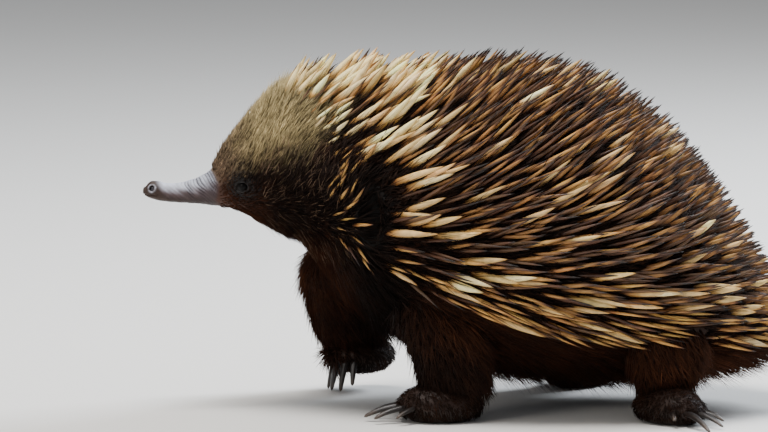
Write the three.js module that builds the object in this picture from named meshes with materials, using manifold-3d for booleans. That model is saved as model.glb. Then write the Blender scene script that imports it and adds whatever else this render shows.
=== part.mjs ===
// A short-beaked echidna at life size, walking, made as a still display model.
// Millimetres, +Z up, facing -X. The origin is on the floor under the middle of the animal.
import * as THREE from "three";
import { mergeVertices } from "three/addons/utils/BufferGeometryUtils.js";
import Module from "manifold-3d";

const wasm = await Module();
wasm.setup();

// Driving sizes of the trunk: place along X, top and underside of the skin, and half the width there.
const TRUNK = [
  [-198.6, 122.6, 117.4, 2.6],
  [-196.0, 125.2, 116.2, 4.0],
  [-192.5, 125.8, 115.1, 4.9],
  [-187.0, 124.6, 114.2, 5.1],
  [-181.0, 124.6, 113.7, 5.6],
  [-174.0, 126.2, 113.3, 6.6],
  [-167.0, 129.0, 112.8, 8.2],
  [-161.0, 133.5, 112.0, 10.6],
  [-154.0, 145.0, 111.5, 14.5],
  [-146.0, 154.5, 109.5, 19.5],
  [-137.0, 163.0, 105.5, 25.5],
  [-126.0, 171.0, 101.0, 33.0],
  [-112.0, 177.5, 95.0, 42.0],
  [-92.0, 179.5, 74.0, 54.0],
  [-70.0, 179.5, 54.0, 66.0],
  [-35.0, 180.0, 37.0, 79.0],
  [0.0, 181.5, 30.0, 86.0],
  [25.0, 179.0, 28.0, 88.0],
  [48.0, 173.0, 27.0, 87.5],
  [72.0, 158.5, 27.0, 84.0],
  [92.0, 141.0, 27.5, 77.0],
  [107.0, 122.5, 29.0, 69.0],
  [122.0, 101.0, 31.0, 57.0],
  [137.0, 77.0, 34.0, 42.0],
  [150.0, 57.0, 38.0, 24.0],
  [156.0, 50.0, 41.0, 11.0],
];
const BEAK_TIP = new THREE.Vector3(-200, 0, 120);
const RUMP_END = new THREE.Vector3(158, 0, 45.5);
// The beak and the body behind it, each with its sides and the number of rings in its spans.
// They overlap at the seam.
const BEAK = { sides: 16, spans: [[-198.6, -192.5, 3], [-192.5, -158, 5]] };
const BODY = { sides: 28, spans: [[-164, -112, 7], [-112, 150, 19], [150, 156, 1]] };
const WIDEST_AT = 0.4; // share of the section's height where the body is widest
const UNDERSIDE_FULLNESS = 0.8; // under 1 makes the belly flatter than an ellipse

const GAP = 0.32; // the space that neighbouring pieces keep
const SLOPE_GAP = 0.42; // how much wider the body is cut from its neighbours, as its sides slope
const SEAMS = { beak: -161, head: -112, neck: -58, shoulders: 18, loins: 98 };

// How far the fur stands off the skin, between the spines too. It starts behind the bare beak.
const FUR = { depth: 5.5, bareTo: -161, fullFrom: -126 };
const SPINE = {
  spacing: 15.4, // between the roots of neighbours
  scatter: 1.6, // how far a root may be off its place, each way
  stand: 13.5, // how far the tips stand off the fur
  longest: 32,
  shortest: 14,
  radius: 2.3,
  widestAt: 0.42, // share of the length where a spine is thickest
  leastLift: 20, // degrees off the surface
  sink: 5, // how deep the root goes under the fur's surface
};
// The edges of the spiny coat: the height of its lowest roots along X, and its foremost roots by height.
const LOWEST_SPINES = [[-100, 112], [-84, 100], [-64, 86], [-22, 64], [11, 54], [56, 46], [112, 42], [158, 40]];
const FOREMOST_SPINES = [[85, -80], [120, -92], [145, -98], [165, -108], [180, -118]];
// Flat locks of the longer fur on the legs, the belly and the throat.
const LOCK = { length: 17, width: 12, thickness: 2.4, sink: 4, spacing: 17 };
const LEG_FUR = 3; // how far the locks make a leg thicker than the leg under them

// The tail is a short stub that points back and down. Its rings of spines are given by their place along it,
// their number, their length, and how far they spread for each unit back.
const TAIL = {
  middle: [160, 0, 44],
  half: [22, 11, 9.5],
  rings: [
    { along: 0.35, count: 6, length: 25, spread: 0.42 },
    { along: 0.8, count: 4, length: 22.5, spread: 0.2 },
  ],
};

const EYE = { x: -144, y: 17, z: 124.5, radius: 4.6 };
const NOSTRIL = { x: -194.8, y: 3.9, z: 121.9, rim: 2.5, hole: 1.4 };
const MOUTH = { back: -191, z: 117.9, height: 0.7, depth: 1.1 };
const EAR = { x: -73, z: 113, halfLength: 7, halfHeight: 17, halfDepth: 6 };

const FUR_BROWN = { color: 0x35241a, roughness: 0.95, metalness: 0 };
const FUR_OLIVE = { color: 0x7a6a4a, roughness: 0.95, metalness: 0 };
const SPINY = { color: 0x8a6a42, roughness: 0.6, metalness: 0 };
const BEAK_SKIN = { color: 0x8f8c92, roughness: 0.55, metalness: 0 };
const EAR_SKIN = { color: 0x1c1412, roughness: 0.8, metalness: 0 };
const CLAW_HORN = { color: 0x2a2421, roughness: 0.4, metalness: 0 };
const EYE_GLOSS = { color: 0x0c0b0c, roughness: 0.08, metalness: 0 };

const { clamp, degToRad, lerp } = THREE.MathUtils;
const UP = new THREE.Vector3(0, 0, 1);
const SIDES = { left: -1, right: 1 };

// A smooth curve through the trunk's stations gives its size at any place along X.
const stations = new THREE.CubicInterpolant(
  new Float64Array(TRUNK.map((row) => row[0])),
  new Float64Array(TRUNK.flatMap((row) => row.slice(1))),
  3,
);
function trunkSize(x) {
  const [top, under, half] = stations.evaluate(x);
  return { top, under, half, middle: under + WIDEST_AT * (top - under) };
}

// A point of the trunk at a place along X and an angle round it: 0 is its left side, 90 degrees the back.
function trunkPoint(x, angle, grow = 0) {
  const { top, under, half, middle } = trunkSize(x);
  const c = Math.cos(angle);
  const s = Math.sin(angle);
  const up = s >= 0 ? s * (top - middle + grow) : -Math.pow(-s, UNDERSIDE_FULLNESS) * (middle - under + grow);
  return new THREE.Vector3(x, -c * (half + grow), middle + up);
}

// How far the fur's surface stands off the skin at a place along X.
function furReach(x) {
  return FUR.depth * clamp((x - FUR.bareTo) / (FUR.fullFrom - FUR.bareTo), 0, 1);
}

function furPoint(x, angle) {
  return trunkPoint(x, angle, furReach(x));
}

// The direction that the fur's surface faces.
function furNormal(x, angle) {
  const step = 0.02;
  const alongX = furPoint(x + 1, angle).sub(furPoint(x - 1, angle));
  const round = furPoint(x, angle + step).sub(furPoint(x, angle - step));
  return alongX.cross(round).normalize();
}

// How far a point is above the fur of the trunk, measured in its section: below 0 inside.
function heightOverFur(point) {
  if (point.x > RUMP_END.x) return point.distanceTo(RUMP_END) - FUR.depth;
  const { top, under, half, middle } = trunkSize(point.x);
  const reach = furReach(point.x);
  const tall = point.z > middle ? top - middle + reach : middle - under + reach;
  const across = point.y / (half + reach);
  const upright = (point.z - middle) / tall;
  const share = Math.hypot(across, upright);
  return (1 - 1 / share) * Math.hypot(point.y, point.z - middle);
}

// Joins rings of points, which all have the same number of points, into one closed skin.
// An end is closed by a fan to the point given for it, or to the middle of its ring.
function skinOver(rings, firstEnd, lastEnd) {
  const sides = rings[0].length;
  const middleOf = (ring) => ring.reduce((sum, p) => sum.add(p), new THREE.Vector3()).divideScalar(sides);
  const points = [...rings.flat(), firstEnd ?? middleOf(rings[0]), lastEnd ?? middleOf(rings.at(-1))];
  const first = points.length - 2;
  const last = points.length - 1;
  const triangles = [];
  for (let side = 0; side < sides; side++) {
    const next = (side + 1) % sides;
    triangles.push(first, next, side);
    for (let r = 0; r + 1 < rings.length; r++) {
      const a = r * sides + side;
      const b = r * sides + next;
      triangles.push(a, b, b + sides, a, b + sides, a + sides);
    }
    const base = (rings.length - 1) * sides;
    triangles.push(last, base + side, base + next);
  }
  const geometry = new THREE.BufferGeometry().setFromPoints(points);
  geometry.setIndex(triangles);
  return geometry;
}

// A closed geometry as a solid for cutting and joining, with its faces turned outwards.
function solid(geometry) {
  const shape = geometry.clone();
  shape.deleteAttribute("normal");
  shape.deleteAttribute("uv");
  const merged = mergeVertices(shape, 1e-4);
  const vertProperties = merged.attributes.position.array;
  const triVerts = new Uint32Array(merged.index.array);
  const made = new wasm.Manifold(new wasm.Mesh({ numProp: 3, vertProperties, triVerts }));
  if (made.volume() > 0) return made;
  for (let i = 0; i < triVerts.length; i += 3) [triVerts[i], triVerts[i + 1]] = [triVerts[i + 1], triVerts[i]];
  return new wasm.Manifold(new wasm.Mesh({ numProp: 3, vertProperties, triVerts }));
}

// The largest closed piece of a solid, so that scraps and sealed hollows go.
function largest(shape) {
  const pieces = shape.decompose().sort((a, b) => b.volume() - a.volume());
  return pieces[0];
}

// A block between two places along X, much larger than the animal the other ways.
function slab(from, to) {
  return solid(new THREE.BoxGeometry(to - from, 600, 600).translate((from + to) / 2, 0, 100));
}

// Everything under a height.
function below(height) {
  return solid(new THREE.BoxGeometry(800, 800, 100).translate(0, 0, height - 50));
}

// An egg shape with its half-sizes along X, Y and Z, turned by a heading about Z.
function egg(centre, half, heading = 0, detail = [12, 8]) {
  const ball = new THREE.SphereGeometry(1, ...detail).rotateX(Math.PI / 2);
  return solid(ball.scale(...half).rotateZ(heading).translate(...centre));
}

// The places along X of the rings of the beak or the body.
function ringPlaces({ spans }) {
  const placesIn = ([from, to, count]) => Array.from({ length: count }, (_, i) => lerp(from, to, i / count));
  return [...spans.flatMap(placesIn), spans.at(-1)[1]];
}

// The skin of the beak or the body, grown by an amount that may change along X.
function trunk(shape, growAt, firstEnd, lastEnd) {
  const angles = Array.from({ length: shape.sides }, (_, i) => (2 * Math.PI * i) / shape.sides);
  const ring = (x) => angles.map((angle) => trunkPoint(x, angle, growAt(x)));
  return solid(skinOver(ringPlaces(shape).map(ring), firstEnd, lastEnd));
}
const beak = (growAt) => trunk(BEAK, growAt, BEAK_TIP);
const rumpEnd = (grow) => RUMP_END.clone().setX(RUMP_END.x + grow);
const body = (growAt) => trunk(BODY, growAt, undefined, rumpEnd(growAt(RUMP_END.x)));

// Limbs in their fur: rows of height, middle along X, middle along Y, and half-sizes along X and Y.
const LIMBS = {
  left_foreleg: [
    [86, -44, -40, 24, 20],
    [62, -38, -57, 27, 21],
    [42, -30, -67, 25, 19],
    [24, -27, -71, 23, 17],
    [9, -29, -72, 20, 15],
  ],
  right_foreleg: [
    [96, -74, 34, 24, 18],
    [72, -85, 50, 28, 20],
    [50, -86, 58, 25, 18],
    [33, -83, 62, 22, 16],
    [20, -79, 64, 17, 13],
  ],
  left_hindleg: [
    [78, 84, -40, 30, 22],
    [56, 88, -56, 30, 20],
    [36, 90, -65, 25, 17],
    [20, 89, -69, 19, 14],
    [8, 88, -70, 16, 12],
  ],
  right_hindleg: [
    [78, 42, 48, 30, 22],
    [56, 43, 63, 30, 20],
    [36, 44, 70, 25, 17],
    [20, 44, 73, 19, 14],
    [8, 43, 74, 16, 12],
  ],
};
const LIMB_SIDES = 12;
const LIMB_RINGS = 6;

// The section of a limb at a height.
function limbSection(rows, z) {
  const sizes = new THREE.CubicInterpolant(
    new Float64Array(rows.map((row) => -row[0])),
    new Float64Array(rows.flatMap((row) => row.slice(1))),
    4,
  );
  const [x, y, alongX, alongY] = sizes.evaluate(-z);
  return { x, y, alongX, alongY };
}

function limbPoint(rows, z, angle, grow = 0) {
  const { x, y, alongX, alongY } = limbSection(rows, z);
  return new THREE.Vector3(x + (alongX + grow) * Math.cos(angle), y + (alongY + grow) * Math.sin(angle), z);
}

function limb(rows, grow) {
  const angles = Array.from({ length: LIMB_SIDES }, (_, k) => (2 * Math.PI * k) / LIMB_SIDES);
  const [top, bottom] = [rows[0][0], rows.at(-1)[0]];
  const heights = Array.from({ length: LIMB_RINGS }, (_, i) => lerp(top, bottom, i / (LIMB_RINGS - 1)));
  return solid(skinOver(heights.map((z) => angles.map((angle) => limbPoint(rows, z, angle, grow)))));
}

// Claws from the innermost toe outwards: angle off the foot's heading in degrees, length, and width at the root.
const FORE_CLAWS = [[-39, 13, 4.4], [-19, 18, 5.4], [0, 20, 5.8], [19, 18, 5.4], [39, 13, 4.4]];
const HIND_CLAWS = [[-34, 8, 4], [-14, 28, 5], [4, 19, 4.6], [20, 13, 4.2], [36, 10, 3.8]];
// Feet: middle, half-sizes, heading of the toes about Z in degrees, height of the sole above the floor, and how
// far the claws dip below the level in degrees.
const FEET = {
  left_forefoot: { middle: [-34, -72, 9], half: [24, 19, 13], heading: 184, sole: 0, dip: 14 },
  right_forefoot: { middle: [-77, 65, 20], half: [19, 17, 11], heading: 212, sole: 10, dip: 76 },
  left_hindfoot: { middle: [92, -79, 8], half: [25, 16, 12], heading: -52, sole: 0, dip: 14 },
  right_hindfoot: { middle: [47, 81, 8], half: [25, 16, 12], heading: 52, sole: 0, dip: 14 },
};
const CLAW_SIDES = 6;
const CLAW_TIP_HEIGHT = -0.6; // the tips are cut level with the floor, which leaves a small flat on each

function foot({ middle, half, heading, sole }, grow = 0) {
  const grown = half.map((size) => size + grow);
  return egg(middle, grown, degToRad(heading)).subtract(below(sole - grow));
}

// A claw as a bent, tapering horn: a broad flat oval at its root and a blunt point at its tip.
function claw(root, direction, length, width) {
  const side = new THREE.Vector3().crossVectors(direction, UP).normalize();
  const tip = root.clone().addScaledVector(direction, length);
  tip.z = Math.max(tip.z, CLAW_TIP_HEIGHT);
  const bend = root.clone().lerp(tip, 0.5).addScaledVector(UP, 0.13 * length);
  const path = new THREE.QuadraticBezierCurve3(root, bend, tip);
  const rings = [0, 0.4, 0.8].map((t) => {
    const along = path.getTangent(t);
    const up = new THREE.Vector3().crossVectors(side, along).normalize();
    const half = (width / 2) * (1 - 0.75 * t * t);
    return Array.from({ length: CLAW_SIDES }, (_, k) => {
      const angle = (2 * Math.PI * k) / CLAW_SIDES;
      return path
        .getPoint(t)
        .addScaledVector(side, half * Math.cos(angle))
        .addScaledVector(up, 0.62 * half * Math.sin(angle));
    });
  });
  return solid(skinOver(rings, undefined, tip)).subtract(below(0));
}

function clawsOf(spec, claws, mirrored) {
  const [x, y, z] = spec.middle;
  return claws.map(([angle, length, width]) => {
    const turn = degToRad(spec.heading + (mirrored ? -angle : angle));
    const dip = degToRad(spec.dip);
    const flat = new THREE.Vector3(Math.cos(turn), Math.sin(turn), 0);
    // The claw leaves the pad's edge in its own direction, and its root is sunk under the skin.
    const local = turn - degToRad(spec.heading);
    const edge = 1 / Math.hypot(Math.cos(local) / spec.half[0], Math.sin(local) / spec.half[1]);
    const root = new THREE.Vector3(x, y, z - 1).addScaledVector(flat, edge * 0.82);
    const direction = flat.clone().multiplyScalar(Math.cos(dip)).setZ(-Math.sin(dip));
    return claw(root, direction, length + edge * 0.14, width);
  });
}

// Numbers between 0 and 1 that look random and come out the same each time.
function seeded(seed) {
  let state = seed;
  return () => {
    state = (state * 1664525 + 1013904223) % 4294967296;
    return state / 4294967296;
  };
}
const random = seeded(20);
const vary = (amount) => (2 * random() - 1) * amount;

// A value read off a list of pairs, straight between them and level beyond its ends.
function readOff(pairs, at) {
  const line = new THREE.LinearInterpolant(
    new Float64Array(pairs.map((pair) => pair[0])),
    new Float64Array(pairs.map((pair) => pair[1])),
    1,
  );
  return line.evaluate(at)[0];
}

function isSpiny({ x, z }) {
  return z > readOff(LOWEST_SPINES, x) && x > readOff(FOREMOST_SPINES, z);
}

// The lie of the spines seen from the side, in degrees above the level, pointing back.
// They rise on the back, lie level on the flank and droop at the fringe. The level line sinks towards the rump.
function lieAngle({ x, z }) {
  const level = clamp(100 - 0.3 * (x + 50), 55, 105);
  const steepest = clamp(40 - 0.1 * (x + 50), 34, 47);
  return clamp(0.6 * (z - level), -35, steepest);
}

// The direction of a spine: along the lie of the coat, and lifted off the surface that faces the normal.
function spineDirection(root, normal) {
  const angle = degToRad(lieAngle(root) + vary(5));
  const lie = new THREE.Vector3(Math.cos(angle), vary(0.07), Math.sin(angle));
  lie.addScaledVector(normal, 0.2).normalize();
  const lift = Math.max(Math.asin(clamp(lie.dot(normal), -1, 1)), degToRad(SPINE.leastLift));
  const flat = lie.projectOnPlane(normal).normalize();
  return flat.multiplyScalar(Math.cos(lift)).addScaledVector(normal, Math.sin(lift));
}

// A spine: three-sided, widest near its middle, narrower towards its sunk root, and drawn out to a point.
function spine({ root, tip, normal, radius }) {
  const direction = tip.clone().sub(root).normalize();
  const side = new THREE.Vector3().crossVectors(direction, UP).normalize();
  const up = new THREE.Vector3().crossVectors(side, direction);
  const sunk = root.clone().addScaledVector(normal, -SPINE.sink).addScaledVector(direction, -SPINE.sink);
  const widest = [90, 210, 330].map((angle) =>
    root
      .clone()
      .lerp(tip, SPINE.widestAt)
      .addScaledVector(side, radius * Math.cos(degToRad(angle)))
      .addScaledVector(up, radius * Math.sin(degToRad(angle))),
  );
  return solid(skinOver([widest], sunk, tip));
}

// Places along X that are one spacing apart over the surface, between the back and the flank.
function rowPlaces(from, to, spacing) {
  const places = [];
  const step = 0.5;
  let travelled = spacing;
  for (let x = from; x < to; x += step) {
    travelled += furPoint(x, degToRad(60)).distanceTo(furPoint(x + step, degToRad(60)));
    if (travelled < spacing) continue;
    places.push(x);
    travelled = 0;
  }
  return places;
}

// The angle round the trunk that is a way over its surface from the middle of the back.
function angleAt(x, way) {
  const step = degToRad(1) * -Math.sign(way);
  let angle = Math.PI / 2;
  let left = Math.abs(way);
  while (left > 0 && Math.abs(angle - Math.PI / 2) < Math.PI) {
    left -= furPoint(x, angle).distanceTo(furPoint(x, angle + step));
    angle += step;
  }
  return angle;
}

// The angle round the trunk where its side is at a height.
function angleAtHeight(x, height, side) {
  const step = degToRad(1) * side;
  let angle = Math.PI / 2;
  while (furPoint(x, angle).z > height && Math.abs(angle - Math.PI / 2) < Math.PI) angle += step;
  return angle;
}

function insideLimb(point, margin) {
  return Object.values(LIMBS).some((rows) => {
    if (point.z > rows[0][0] + margin) return false;
    const { x, y, alongX, alongY } = limbSection(rows, Math.max(point.z, rows.at(-1)[0]));
    return Math.hypot((point.x - x) / (alongX + margin), (point.y - y) / (alongY + margin)) < 1;
  });
}

// The middle of an ear, on the fur's surface.
function earPlace(side) {
  return furPoint(EAR.x, angleAtHeight(EAR.x, EAR.z, side));
}

function insideEar(point, margin) {
  const off = point.clone().sub(earPlace(Math.sign(point.y)));
  const [x, y, z] = [EAR.halfLength, EAR.halfDepth, EAR.halfHeight].map((size) => size + margin);
  return Math.hypot(off.x / x, off.y / y, off.z / z) < 1;
}

function insideTail(point, margin) {
  const off = point.clone().sub(new THREE.Vector3(...TAIL.middle));
  const [x, y, z] = TAIL.half.map((size) => size + margin);
  return Math.hypot(off.x / x, off.y / y, off.z / z) < 1;
}

// The part of the trunk that a place belongs to.
function partAt(x) {
  return Object.keys(SEAMS).find((name) => x < SEAMS[name]) ?? "rump";
}

// True where something from root to tip keeps clear of ears, tail and legs, and of the fur of the other parts.
function keepsClear(root, tip, radius) {
  const margin = radius + 2 * GAP;
  return [0, 0.25, 0.5, 0.75, 1].every((share) => {
    const point = root.clone().lerp(tip, share);
    if (insideEar(point, margin) || insideTail(point, margin) || insideLimb(point, margin)) return false;
    return partAt(point.x) === partAt(root.x) || heightOverFur(point) > radius;
  });
}

// How thick a spine is at one of its points, measured from its middle line.
function girth(line, radius, point) {
  const share = line.start.distanceTo(point) / line.distance();
  return share < SPINE.widestAt ? radius : (radius * (1 - share)) / (1 - SPINE.widestAt);
}

// A spine is kept where it touches none of those made before it.
function keepSpine(made, part, root, normal, direction, length) {
  const tip = root.clone().addScaledVector(direction, length);
  const radius = SPINE.radius * (1 + vary(0.12));
  const line = new THREE.Line3(root, tip);
  const near = made.some((other) => {
    const [here, there] = [new THREE.Vector3(), new THREE.Vector3()];
    const distance = Math.sqrt(line.distanceSqToLine3(other.line, here, there));
    return distance < girth(line, radius, here) + girth(other.line, other.radius, there) + 1.5 * GAP;
  });
  if (near || (part !== "tail" && !keepsClear(root, tip, radius))) return;
  made.push({ part, root, tip, normal, radius, line });
}

// The tail's spines stand in rings round its stub and point back and out.
function tailSpines(made) {
  const [x, y, z] = TAIL.middle;
  for (const { along, count, length, spread } of TAIL.rings)
    for (let k = 0; k < count; k++) {
      const angle = (2 * Math.PI * (k + along)) / count;
      const round = Math.sqrt(1 - along * along);
      const normal = new THREE.Vector3(0, Math.cos(angle), Math.sin(angle));
      const root = new THREE.Vector3(x + TAIL.half[0] * along, y, z)
        .addScaledVector(new THREE.Vector3(0, 1, 0), TAIL.half[1] * round * normal.y)
        .addScaledVector(UP, TAIL.half[2] * round * normal.z);
      const direction = new THREE.Vector3(1, 0, 0).addScaledVector(normal, spread).normalize();
      keepSpine(made, "tail", root, normal, direction, length * (1 + vary(0.08)));
    }
}

// The trunk's spines stand in rows, each row set off from the last by half a spacing.
function trunkSpines(made) {
  rowPlaces(-119, 156, SPINE.spacing * 0.87).forEach((rowX, row) => {
    const count = Math.ceil(160 / SPINE.spacing);
    for (let k = -count; k <= count; k++) {
      const x = rowX + vary(SPINE.scatter);
      const angle = angleAt(x, (k + (row % 2) / 2) * SPINE.spacing + vary(SPINE.scatter));
      const root = furPoint(x, angle);
      if (!isSpiny(root)) continue;
      const normal = furNormal(x, angle);
      const direction = spineDirection(root, normal);
      const nape = clamp((x + 130) / 30, 0.5, 1);
      const stand = SPINE.stand * nape * (1 + vary(0.14));
      const longest = SPINE.longest * (1 + vary(0.1));
      const length = clamp(stand / direction.dot(normal), SPINE.shortest * nape, longest);
      keepSpine(made, partAt(x), root, normal, direction, length);
    }
  });
}

// A lock: a flat strip of fur with a low ridge, bent over along its lie and drawn out to a point.
function lock({ root, normal, tip, width }) {
  const start = root.clone().addScaledVector(normal, -LOCK.sink);
  const crest = root.clone().lerp(tip, 0.35).addScaledVector(normal, LOCK.thickness);
  const path = new THREE.QuadraticBezierCurve3(start, crest, tip);
  const rings = [[0, 0.8], [0.45, 1], [0.78, 0.6]].map(([t, share]) => {
    const along = path.getTangent(t);
    const side = new THREE.Vector3().crossVectors(along, normal).normalize();
    const out = new THREE.Vector3().crossVectors(side, along);
    const at = path.getPoint(t);
    return [
      at.clone().addScaledVector(side, (-width / 2) * share),
      at.clone().addScaledVector(side, (width / 2) * share),
      at.clone().addScaledVector(out, LOCK.thickness * share),
    ];
  });
  return solid(skinOver(rings, undefined, tip));
}

// A lock that hangs along a lie from its root, a little off the surface.
function hangingLock(root, normal, lie) {
  const length = LOCK.length * (1 + vary(0.15));
  const tip = root.clone().addScaledVector(lie, length).addScaledVector(normal, LOCK.thickness);
  return { root, normal, tip, width: LOCK.width * (1 + vary(0.2)) };
}

// Locks of the belly's fringe hang from just under the lowest spines, and those of the throat from the front.
function trunkLocks() {
  const made = [];
  const keep = (x, angle, lie) => {
    const one = hangingLock(furPoint(x, angle), furNormal(x, angle), lie.normalize());
    if (keepsClear(one.root, one.tip, LOCK.width * 0.35)) made.push(one);
  };
  for (const side of Object.values(SIDES))
    for (const x of rowPlaces(-84, 150, LOCK.spacing)) {
      const height = readOff(LOWEST_SPINES, x) - LOCK.spacing * 0.6;
      keep(x, angleAtHeight(x, height, side), new THREE.Vector3(0.62, 0, -0.78 + vary(0.15)));
    }
  for (const x of rowPlaces(-98, -60, LOCK.spacing))
    for (const across of [-38, 0, 38])
      keep(x, degToRad(270 + across + vary(6)), new THREE.Vector3(0.35, 0, -0.9 + vary(0.1)));
  return made;
}

// Locks hang round a leg in rows above its foot, each row turned by half a spacing from the last.
function legLocks(rows, { middle, half }) {
  const made = [];
  const lowest = middle[2] + half[2] + LOCK.length * 0.75;
  for (let row = 0; row < 3; row++) {
    const z = lowest + row * LOCK.length * 0.9;
    if (z > rows[0][0]) break;
    const { alongX, alongY } = limbSection(rows, z);
    const count = Math.round((Math.PI * (alongX + alongY)) / (1.2 * LOCK.spacing));
    for (let k = 0; k < count; k++) {
      const angle = (2 * Math.PI * (k + (row % 2) / 2)) / count;
      const root = limbPoint(rows, z, angle, -LEG_FUR);
      const normal = new THREE.Vector3(Math.cos(angle), Math.sin(angle), 0);
      const lie = new THREE.Vector3(0.22, 0, -1).normalize();
      if (heightOverFur(root) > LOCK.thickness) made.push(hangingLock(root, normal, lie));
    }
  }
  return made;
}

// The ear is a low oval rim round an upright slit.
function ear(side) {
  const { x, y, z } = earPlace(side);
  const { halfLength, halfHeight, halfDepth } = EAR;
  const rim = egg([x, y, z], [halfLength, halfDepth, halfHeight]);
  const slit = egg([x + 0.5, y + side * 4, z], [halfLength - 3, halfDepth + 1, halfHeight - 4], 0, [8, 6]);
  return rim.subtract(slit);
}

function eyeball(side, grow = 0) {
  return egg([EYE.x, side * EYE.y, EYE.z], Array(3).fill(EYE.radius + grow), 0, [12, 7]);
}

// The eye's lids: a low ring that stands in a shallow dish of the fur and opens over the eyeball.
function withEye(face, side) {
  const { x, y, z, radius } = EYE;
  const dish = egg([x, side * (y + 8.4), z], [9, 5, 8], 0, [12, 7]);
  const lids = egg([x, side * y, z], [radius + 1.7, radius + 1.0, radius + 1.5], 0, [14, 7]);
  const opening = egg([x, side * (y + 4), z], [radius - 0.7, 5, radius - 1.7], 0, [12, 5]);
  return face.subtract(dish).add(lids).subtract(eyeball(side, GAP)).subtract(opening);
}

// A nostril is a round hole in a slightly raised rim.
function withNostril(face, side) {
  const { x, y, z, rim, hole } = NOSTRIL;
  const raised = egg([x, side * (y - 1), z], [rim, rim, rim], 0, [8, 6]);
  const bore = egg([x, side * (y + 0.9), z + 0.2], [hole, 1.7, hole], 0, [8, 4]);
  return face.add(raised).subtract(bore);
}

// The line of the mouth is a groove along each side of the beak's tip.
function withMouth(face) {
  const { back, z, height, depth } = MOUTH;
  const half = trunkSize(back).half;
  const bar = new THREE.BoxGeometry(20, 10, height).translate(back - 10, half - depth + 5, z);
  return face.subtract(solid(bar)).subtract(solid(bar.clone().translate(0, -2 * (half - depth + 5), 0)));
}

const group = new THREE.Group();
function add(name, shape, look) {
  const { vertProperties, triVerts } = largest(shape).getMesh();
  const geometry = new THREE.BufferGeometry();
  geometry.setAttribute("position", new THREE.BufferAttribute(vertProperties, 3));
  geometry.setIndex(new THREE.BufferAttribute(triVerts, 1));
  geometry.computeVertexNormals();
  const mesh = new THREE.Mesh(geometry, new THREE.MeshStandardMaterial(look));
  mesh.name = name;
  group.add(mesh);
}

const sides = Object.values(SIDES);
const furred = body(furReach);
const furredWide = body((x) => furReach(x) + SLOPE_GAP);
const spines = [];
tailSpines(spines);
trunkSpines(spines);
const fringe = trunkLocks();

const snout = withMouth(sides.reduce(withNostril, beak(furReach)));
add("beak", snout.intersect(slab(-300, SEAMS.beak - GAP / 2)), BEAK_SKIN);
const head = sides.reduce(withEye, furred);
add("head", head.intersect(slab(SEAMS.beak + GAP / 2, SEAMS.head - GAP / 2)), FUR_OLIVE);

// The spiny parts of the trunk: each is its stretch between two seams, with the spines and locks that grow
// there, clear of the stretches before and behind it.
const SPINY_PARTS = {
  neck: [SEAMS.head, SEAMS.neck],
  shoulders: [SEAMS.neck, SEAMS.shoulders],
  loins: [SEAMS.shoulders, SEAMS.loins],
  rump: [SEAMS.loins, 300],
};
for (const [name, [from, to]] of Object.entries(SPINY_PARTS)) {
  const grown = spines.filter(({ part }) => part === name).map(spine);
  const hanging = fringe.filter(({ root }) => partAt(root.x) === name).map(lock);
  const others = furredWide.subtract(slab(from + GAP / 2, to - GAP / 2));
  const own = furred.intersect(slab(from + GAP / 2, to - GAP / 2));
  add(name, wasm.Manifold.union([own, ...grown, ...hanging]).subtract(others), SPINY);
}
const tailGrown = spines.filter(({ part }) => part === "tail").map(spine);
const tail = wasm.Manifold.union([egg(TAIL.middle, TAIL.half), ...tailGrown]);
add("tail", tail.subtract(furredWide), SPINY);

for (const [name, side] of Object.entries(SIDES)) {
  add(name + "_eye", eyeball(side), EYE_GLOSS);
  add(name + "_ear", ear(side).subtract(furredWide), EAR_SKIN);
}
for (const [name, rows] of Object.entries(LIMBS)) {
  const footName = name.replace("leg", "foot");
  const spec = FEET[footName];
  const shaggy = wasm.Manifold.union([limb(rows, -LEG_FUR), ...legLocks(rows, spec).map(lock)]);
  add(name, shaggy.subtract(furredWide).subtract(foot(spec, GAP)), FUR_BROWN);
  add(footName, foot(spec), FUR_BROWN);
  const [claws, mirrored] = name.includes("fore") ? [FORE_CLAWS, false] : [HIND_CLAWS, true];
  clawsOf(spec, claws, name.startsWith("left") !== mirrored).forEach((shape, i) =>
    add(footName + "_claw_" + (i + 1), shape.subtract(foot(spec, GAP)), CLAW_HORN),
  );
}

export default group;
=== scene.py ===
# %% [markdown]
# A short-beaked echidna at life size. The measured solids give its outline. This lesson puts a living
# surface on them: one skin, a coat of spines and fur, horny claws and wet eyes. The solids are loaded
# first, so that every later piece can be placed by the same sizes.

import math

import bpy
import numpy as np
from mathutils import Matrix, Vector
from mathutils.kdtree import KDTree


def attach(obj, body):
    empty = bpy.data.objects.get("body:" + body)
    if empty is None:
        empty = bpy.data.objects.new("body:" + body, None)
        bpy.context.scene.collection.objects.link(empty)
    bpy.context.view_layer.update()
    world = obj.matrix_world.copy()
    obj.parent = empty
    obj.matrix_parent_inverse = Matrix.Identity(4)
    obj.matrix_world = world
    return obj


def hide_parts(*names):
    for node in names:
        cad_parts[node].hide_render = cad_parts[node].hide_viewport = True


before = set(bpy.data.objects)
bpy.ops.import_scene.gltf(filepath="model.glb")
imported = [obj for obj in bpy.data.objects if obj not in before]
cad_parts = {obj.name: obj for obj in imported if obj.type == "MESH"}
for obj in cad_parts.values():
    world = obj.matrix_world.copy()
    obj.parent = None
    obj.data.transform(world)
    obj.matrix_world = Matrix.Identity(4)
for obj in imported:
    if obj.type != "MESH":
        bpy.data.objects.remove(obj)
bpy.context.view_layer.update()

# %% [markdown]
# The camera comes first, because it decides what is large in the picture. The animal is seen level from
# its left side, from far away with a long lens, so that near and far legs have nearly the same size.

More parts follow.
